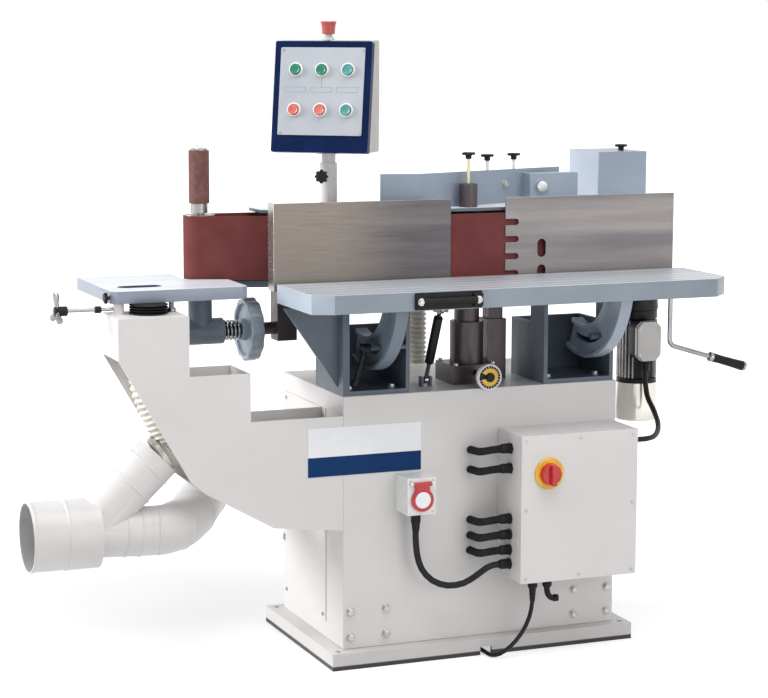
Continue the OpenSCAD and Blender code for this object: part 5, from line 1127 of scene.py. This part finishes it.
addBox(clampShape, (-791, -167, 800), (-779, -157, 812))
for place in ((-785, -115, 806), (*hoses["riser"], 606)):
    addRing(clampShape, place, upward, 41, 43.4, -6, 6, 48)
makePiece("hoseClamps", clampShape, [zincBolt], "frame")

bellows = {"centre": (-785, -126), "half": (44, 46), "low": 837, "high": 860.7, "folds": 4,
    "foldSteps": 8, "dip": 0.86, "sides": 64}
bellowsShape = bmesh.new()
steps, sides = bellows["folds"] * bellows["foldSteps"], bellows["sides"]
(cx, cy), (halfX, halfY) = bellows["centre"], bellows["half"]
angles = [2 * math.pi * k / sides for k in range(sides)]
rings = []
for i in range(steps + 1):
    wave = 0.5 - 0.5 * math.cos(2 * math.pi * i / bellows["foldSteps"])
    share = bellows["dip"] + (1 - bellows["dip"]) * wave ** 0.7
    z = bellows["low"] + (bellows["high"] - bellows["low"]) * i / steps
    rings.append([bellowsShape.verts.new((cx + share * halfX * math.cos(a),
            cy + share * halfY * math.sin(a), z)) for a in angles])
for lower, upper in zip(rings, rings[1:]):
    for k in range(sides):
        m = (k + 1) % sides
        bellowsShape.faces.new((lower[k], lower[m], upper[m], upper[k]))
for ring in (rings[0], rings[-1]):
    bellowsShape.faces.new(ring)
skirt = makePiece("bellows", bellowsShape, [blackRubber], None, ("bellows",), sharp=50)
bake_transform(skirt)
print("dust extraction")


# End table details
wingKnob = {"rodEnd": -856.3, "rod": 110, "hub": 30, "y": -112, "z": 849}
wingShape = bmesh.new()
hubX = wingKnob["rodEnd"] - wingKnob["rod"] - wingKnob["hub"]
addLathe(wingShape, (wingKnob["rodEnd"], wingKnob["y"], wingKnob["z"]), (-1, 0, 0),
    [(0, 0), (4, 0), (4, 112), (0, 112)], 20, 0)
addLathe(wingShape, (hubX, wingKnob["y"], wingKnob["z"]), (1, 0, 0), softRod(11, 0, 30, 3), 32, 1)
addRing(wingShape, (wingKnob["rodEnd"] - 34, wingKnob["y"], wingKnob["z"]), (-1, 0, 0),
    3.9, 8, 0, 14, 24, 1)
for k in range(3):
    a = math.radians(90 + 120 * k)
    foot = Vector((hubX + 7.5, wingKnob["y"], wingKnob["z"]))
    tip = Vector((hubX + 5, wingKnob["y"] + 34 * math.cos(a), wingKnob["z"] + 34 * math.sin(a)))
    out = (tip - foot).normalized()
    addLathe(wingShape, foot, out, [(0, 4), (6, 4), (5.2, 12), (5.2, 20), (6.6, 26), (7.8, 33), (7.2, 38),
            (4.6, 41), (0, 42)], 20, 0)
makePiece("wingKnob", wingShape, [chrome, blackNylon], "wing_knob", ("wing_knob",))
edgeKnob = bmesh.new()
edgeSpot = (-868, -112, 874)
addLathe(edgeKnob, edgeSpot, (-1, 0, 0), [(0, -3), (4, -3), (4, 6), (7, 7), (7, 12), (0, 13)], 20)
addLathe(edgeKnob, edgeSpot, (-1, 0, 0),
    [(0, 8), (12, 8), (13, 9), (13, 14), (11.5, 15.5), (0, 16)], 40, 0, 5, 4.0)
makePiece("edgeKnob", edgeKnob, [blackNylon], "end_table")
collars = bmesh.new()
addRing(collars, (-728, -112, 837), upward, 6.05, 10, 0, 9, 32)
makePiece("postCollar", collars, [chrome], "frame")
print("end table")


# Control panel, in its own frame: the face looks to -Y
panel = {"post": (-241, 180), "low": 1172, "wide": 244, "high": 268, "deep": 70, "yaw": 39, "lean": 9,
    "bezel": 22, "edge": 16, "columns": (-65.88, 0, 65.88), "rows": (64.3, -32.2), "foot": 41}
faceY = -panel["deep"] / 2 - panel["bezel"]
panelZ = panel["low"] + panel["high"] / 2
yawTurn = Matrix.Rotation(math.radians(-panel["yaw"]), 4, "Z")
leanTurn = Matrix.Rotation(math.radians(-panel["lean"]), 4, "X")
panelFrame = Matrix.Translation((*panel["post"], panelZ)) @ yawTurn
faceFrame = panelFrame @ Matrix.Translation((0, faceY, 0)) @ leanTurn
halfW, halfH = panel["wide"] / 2, panel["high"] / 2


def roundOutline(low, high, radius, y, steps=5):
    points = []
    for cornerX, cornerZ, first in ((high[0] - radius, low[1] + radius, -90),
            (high[0] - radius, high[1] - radius, 0), (low[0] + radius, high[1] - radius, 90),
            (low[0] + radius, low[1] + radius, 180)):
        for k in range(steps + 1):
            a = math.radians(first + 90 * k / steps)
            points.append(Vector((cornerX + radius * math.cos(a), y, cornerZ + radius * math.sin(a))))
    return points


housing = bmesh.new()
lean = halfH * math.tan(math.radians(panel["lean"]))
side = [(faceY + 22 - lean, -halfH), (faceY + 22 + lean, halfH), (35, halfH), (35, -halfH)]
addPrism(housing, [Vector((-halfW + 4, y, z)) for y, z in side], (panel["wide"] - 8, 0, 0))
makePiece("panelHousing", housing, [housingAbs], "panel", ("panel_box",),
    bevel=3, move=panelFrame)
bezel = bmesh.new()
addPrism(bezel, roundOutline((-halfW, -halfH), (halfW, halfH), 5, 0), (0, panel["bezel"], 0))
makePiece("panelBezel", bezel, [navyAbs], "panel", bevel=1.6, move=faceFrame)
facePlate = bmesh.new()
plateLow = (-halfW + panel["edge"], -halfH + panel["foot"])
plateHigh = (halfW - panel["edge"], halfH - panel["edge"])
addPrism(facePlate, roundOutline(plateLow, plateHigh, 3, -2), (0, 3, 0))
makePiece("panelPlate", facePlate, [paleFoil], "panel", bevel=0.5, move=faceFrame)
frames = bmesh.new()
for x in panel["columns"]:
    for x0, x1, z0, z1 in ((-27, 27, 22, 22.9), (-27, 27, 10.1, 11), (-27, -26.1, 10.1, 22.9),
            (26.1, 27, 10.1, 22.9)):
        addBox(frames, (x + x0, -2.25, z0), (x + x1, -1.9, z1))
addBox(frames, (-0.6, -2.2, 23), (0.6, -1.9, 46))
makePiece("labelFrames", frames, [greyLine], "panel", move=faceFrame)
ringShape = bmesh.new()
for x in panel["columns"]:
    for z in panel["rows"]:
        addLathe(ringShape, (x, -1.8, z), front, [(13.3, 0), (17, 0), (17, 2.6), (16.2, 4.6), (15, 5.4),
                (14, 5.4), (13.3, 4.6), (13.3, 0)], 48)
makePiece("buttonRings", ringShape, [whiteAbs], "panel", move=faceFrame)
buttonFinish = [(greenGloss, "green_plastic"), (greenGloss, "green_plastic"), (tealGloss, "teal_plastic"),
    (salmonGloss, "salmon_plastic"), (salmonGloss, "salmon_plastic"), (tealGloss, "teal_plastic")]
for i, (finish, slotName) in enumerate(buttonFinish):
    cap = bmesh.new()
    spot = (panel["columns"][i % 3], 0, panel["rows"][i // 3])
    addLathe(cap, spot, front, [(0, -9.5), (10, -9.5), (10, 8), (12.8, 8.3), (12.9, 11), (12.2, 12),
            (10.8, 12), (9, 11.2), (5, 10.6), (0, 10.4)], 40)
    makePiece("pushButton" + str(i + 1), cap, [finish], "button_" + str(i + 1),
        ("button_" + str(i + 1),), move=faceFrame)
screwSpots = []
for x in (plateLow[0] + 6, plateHigh[0] - 6):
    for z in (plateLow[1] + 6, plateHigh[1] - 6):
        screwSpots.append((faceFrame @ Vector((x, -2, z)), faceFrame.to_3x3() @ Vector(front)))
makeBolts("panelScrews", socketScrew(3.4, 2), screwSpots, "panel")
collar = bmesh.new()
addLathe(collar, (0, 0, halfH), upward, [(0, -1), (16, -1), (16, 2), (13, 2.6), (13, 7.4),
        (12.4, 8), (0, 8)], 40, 0)
addLathe(collar, (0, 0, -halfH), (0, 0, -1), [(17.2, 0), (34, 0), (34, 3.4), (32.5, 4.4),
        (17.2, 4.4), (17.2, 0)], 48, 1)
makePiece("panelCollars", collar, [greyAbs, greyAbs], "panel", move=panelFrame)
stop = bmesh.new()
stopProfile = [(0, 0), (14.6, 0), (15.4, 0.8), (15.6, 4), (16.2, 12), (17.2, 20), (18.4, 25),
    (19.4, 27.4), (19.5, 29), (18.8, 30.2), (16, 30.8), (8, 31), (0, 31)]
addLathe(stop, (0, 0, halfH + 14.3), upward, stopProfile, 48, 0)
addLathe(stop, (0, 0, halfH), upward, [(0, -19), (9, -19), (9, 15), (0, 15)], 32, 1)
makePiece("emergencyStop", stop, [stopRed, greyAbs], "emergency_stop",
    ("emergency_stop",), move=panelFrame)

dressNode("panel_post", [whitePowder], 1.2)
dressNode("panel_stem", [whitePowder], 0)
postScrews = {"radius": 21, "z": 646, "angles": (0.6, 2.2, 3.8, 5.4)}
postX, postY = panel["post"]
postSpots = [((postX + postScrews["radius"] * math.cos(a), postY + postScrews["radius"] * math.sin(a),
        postScrews["z"]), upward) for a in postScrews["angles"]]
makeBolts("postScrews", socketScrew(3, 2.4), postSpots)
star = bmesh.new()
starFrame = Matrix.Translation((postX, postY, 1114)) @ Matrix.Rotation(math.radians(-45), 4, "Z")
addLathe(star, (0, -31.3, 0), front, [(0, 0), (9, 0), (9, 3), (13, 4), (16, 5), (17, 7), (17, 14),
        (15.6, 17), (12, 18), (0, 18)], 96, 0, 8, 4.2)
addLathe(star, (0, -31, 0), (0, 1, 0), [(0, -1), (4, -1), (4, 12), (0, 12)], 16, 1)
makePiece("starKnob", star, [blackNylon, zincBolt], "star_knob",
    ("star_knob",), move=starFrame)
print("control panel")


# Floor and light, in metres and watts
# floorTone's shadow entries paint a soft shadow into the floor's glow, behind and left of the machine
floorTone = {"albedo": "#cfcfcf", "fade": (1.2, 3.4, 0.0, 0.45), "shadowAt": (-0.58, 0.6, 0),
    "shadow": (0.15, 0.95, 0.3, 0.56)}
worldLevel = {"light": 0.52, "seen": 1.0}
softboxes = {"overheadSoftbox": ((-0.3, -1.7, 4.6), (0, -0.1, 0.7), (4.0, 2.4), 110),
             "leftSoftbox": ((-17.2, 6.4, 8.0), (0, 0, 0.6), (10.0, 10.0), 3600),
             "frontSoftbox": ((1.6, -5.2, 1.7), (0, 0, 0.7), (3.0, 2.2), 44)}


def seenDirectly(tree):
    # 1 for what the camera, a mirror or glass sees, and 0 for light that falls on the machine
    rays = addNode(tree, "ShaderNodeLightPath")
    seen = addMath(tree, "MAXIMUM", rays.outputs["Is Camera Ray"], rays.outputs["Is Glossy Ray"])
    return addMath(tree, "MAXIMUM", seen, rays.outputs["Is Transmission Ray"])


def rampBetween(tree, value, limits):
    low, high, start, end = limits
    ramp = addNode(tree, "ShaderNodeMapRange", {"Value": value, "From Min": low, "From Max": high,
            "To Min": start, "To Max": end}, interpolation_type="SMOOTHSTEP")
    return ramp.outputs[0]


def makeStage():
    mesh = bpy.data.meshes.new("floor")
    mesh.from_pydata([(-30, -30, 0), (30, -30, 0), (30, 30, 0), (-30, 30, 0)], [], [(0, 1, 2, 3)])
    floor = bpy.data.objects.new("floor", mesh)
    scene.collection.objects.link(floor)
    material = bpy.data.materials.new("studio_floor")
    material.use_nodes = True
    tree = material.node_tree
    tree.nodes.clear()
    matte = addNode(tree, "ShaderNodeBsdfDiffuse", {"Color": linear(floorTone["albedo"])})
    place = addNode(tree, "ShaderNodeTexCoord")
    away = addNode(tree, "ShaderNodeVectorMath", {0: place.outputs["Object"]}, operation="LENGTH")
    fade = rampBetween(tree, away.outputs["Value"], floorTone["fade"])
    # The glow dips round shadowAt: a painted shadow on the floor
    paintedShadowDistance = addNode(tree, "ShaderNodeVectorMath", {0: place.outputs["Object"], 1: floorTone["shadowAt"]},
        operation="DISTANCE")
    paintedShadowDip = rampBetween(tree, paintedShadowDistance.outputs["Value"], floorTone["shadow"])
    level = addMath(tree, "ADD", fade, paintedShadowDip)
    glow = addNode(tree, "ShaderNodeEmission", {"Color": (1, 1, 1, 1), "Strength": level})
    both = addNode(tree, "ShaderNodeAddShader", {0: matte.outputs[0], 1: glow.outputs[0]})
    mix = addNode(tree, "ShaderNodeMixShader",
        {0: seenDirectly(tree), 1: matte.outputs[0], 2: both.outputs[0]})
    addNode(tree, "ShaderNodeOutputMaterial", {"Surface": mix.outputs[0]})
    mesh.materials.append(material)


def makeLight(name, place, target, size, power):
    data = bpy.data.lights.new(name, "AREA")
    data.shape = "RECTANGLE"
    data.size, data.size_y = size
    data.energy = power
    lamp = bpy.data.objects.new(name, data)
    scene.collection.objects.link(lamp)
    place = Vector(place)
    aim = (Vector(target) - place).to_track_quat("-Z", "Y")
    lamp.matrix_world = Matrix.Translation(place) @ aim.to_matrix().to_4x4()


def makeWorld():
    world = bpy.data.worlds.new("studio")
    scene.world = world
    world.use_nodes = True
    tree = world.node_tree
    tree.nodes.clear()
    soft = addNode(tree, "ShaderNodeBackground", {"Color": (1, 1, 1, 1), "Strength": worldLevel["light"]})
    white = addNode(tree, "ShaderNodeBackground", {"Color": (1, 1, 1, 1), "Strength": worldLevel["seen"]})
    mix = addNode(tree, "ShaderNodeMixShader",
        {0: seenDirectly(tree), 1: soft.outputs[0], 2: white.outputs[0]})
    addNode(tree, "ShaderNodeOutputWorld", {"Surface": mix.outputs[0]})


makeStage()
makeWorld()
for name, values in softboxes.items():
    makeLight(name, *values)
scene.view_settings.view_transform = "Standard"

print("done")
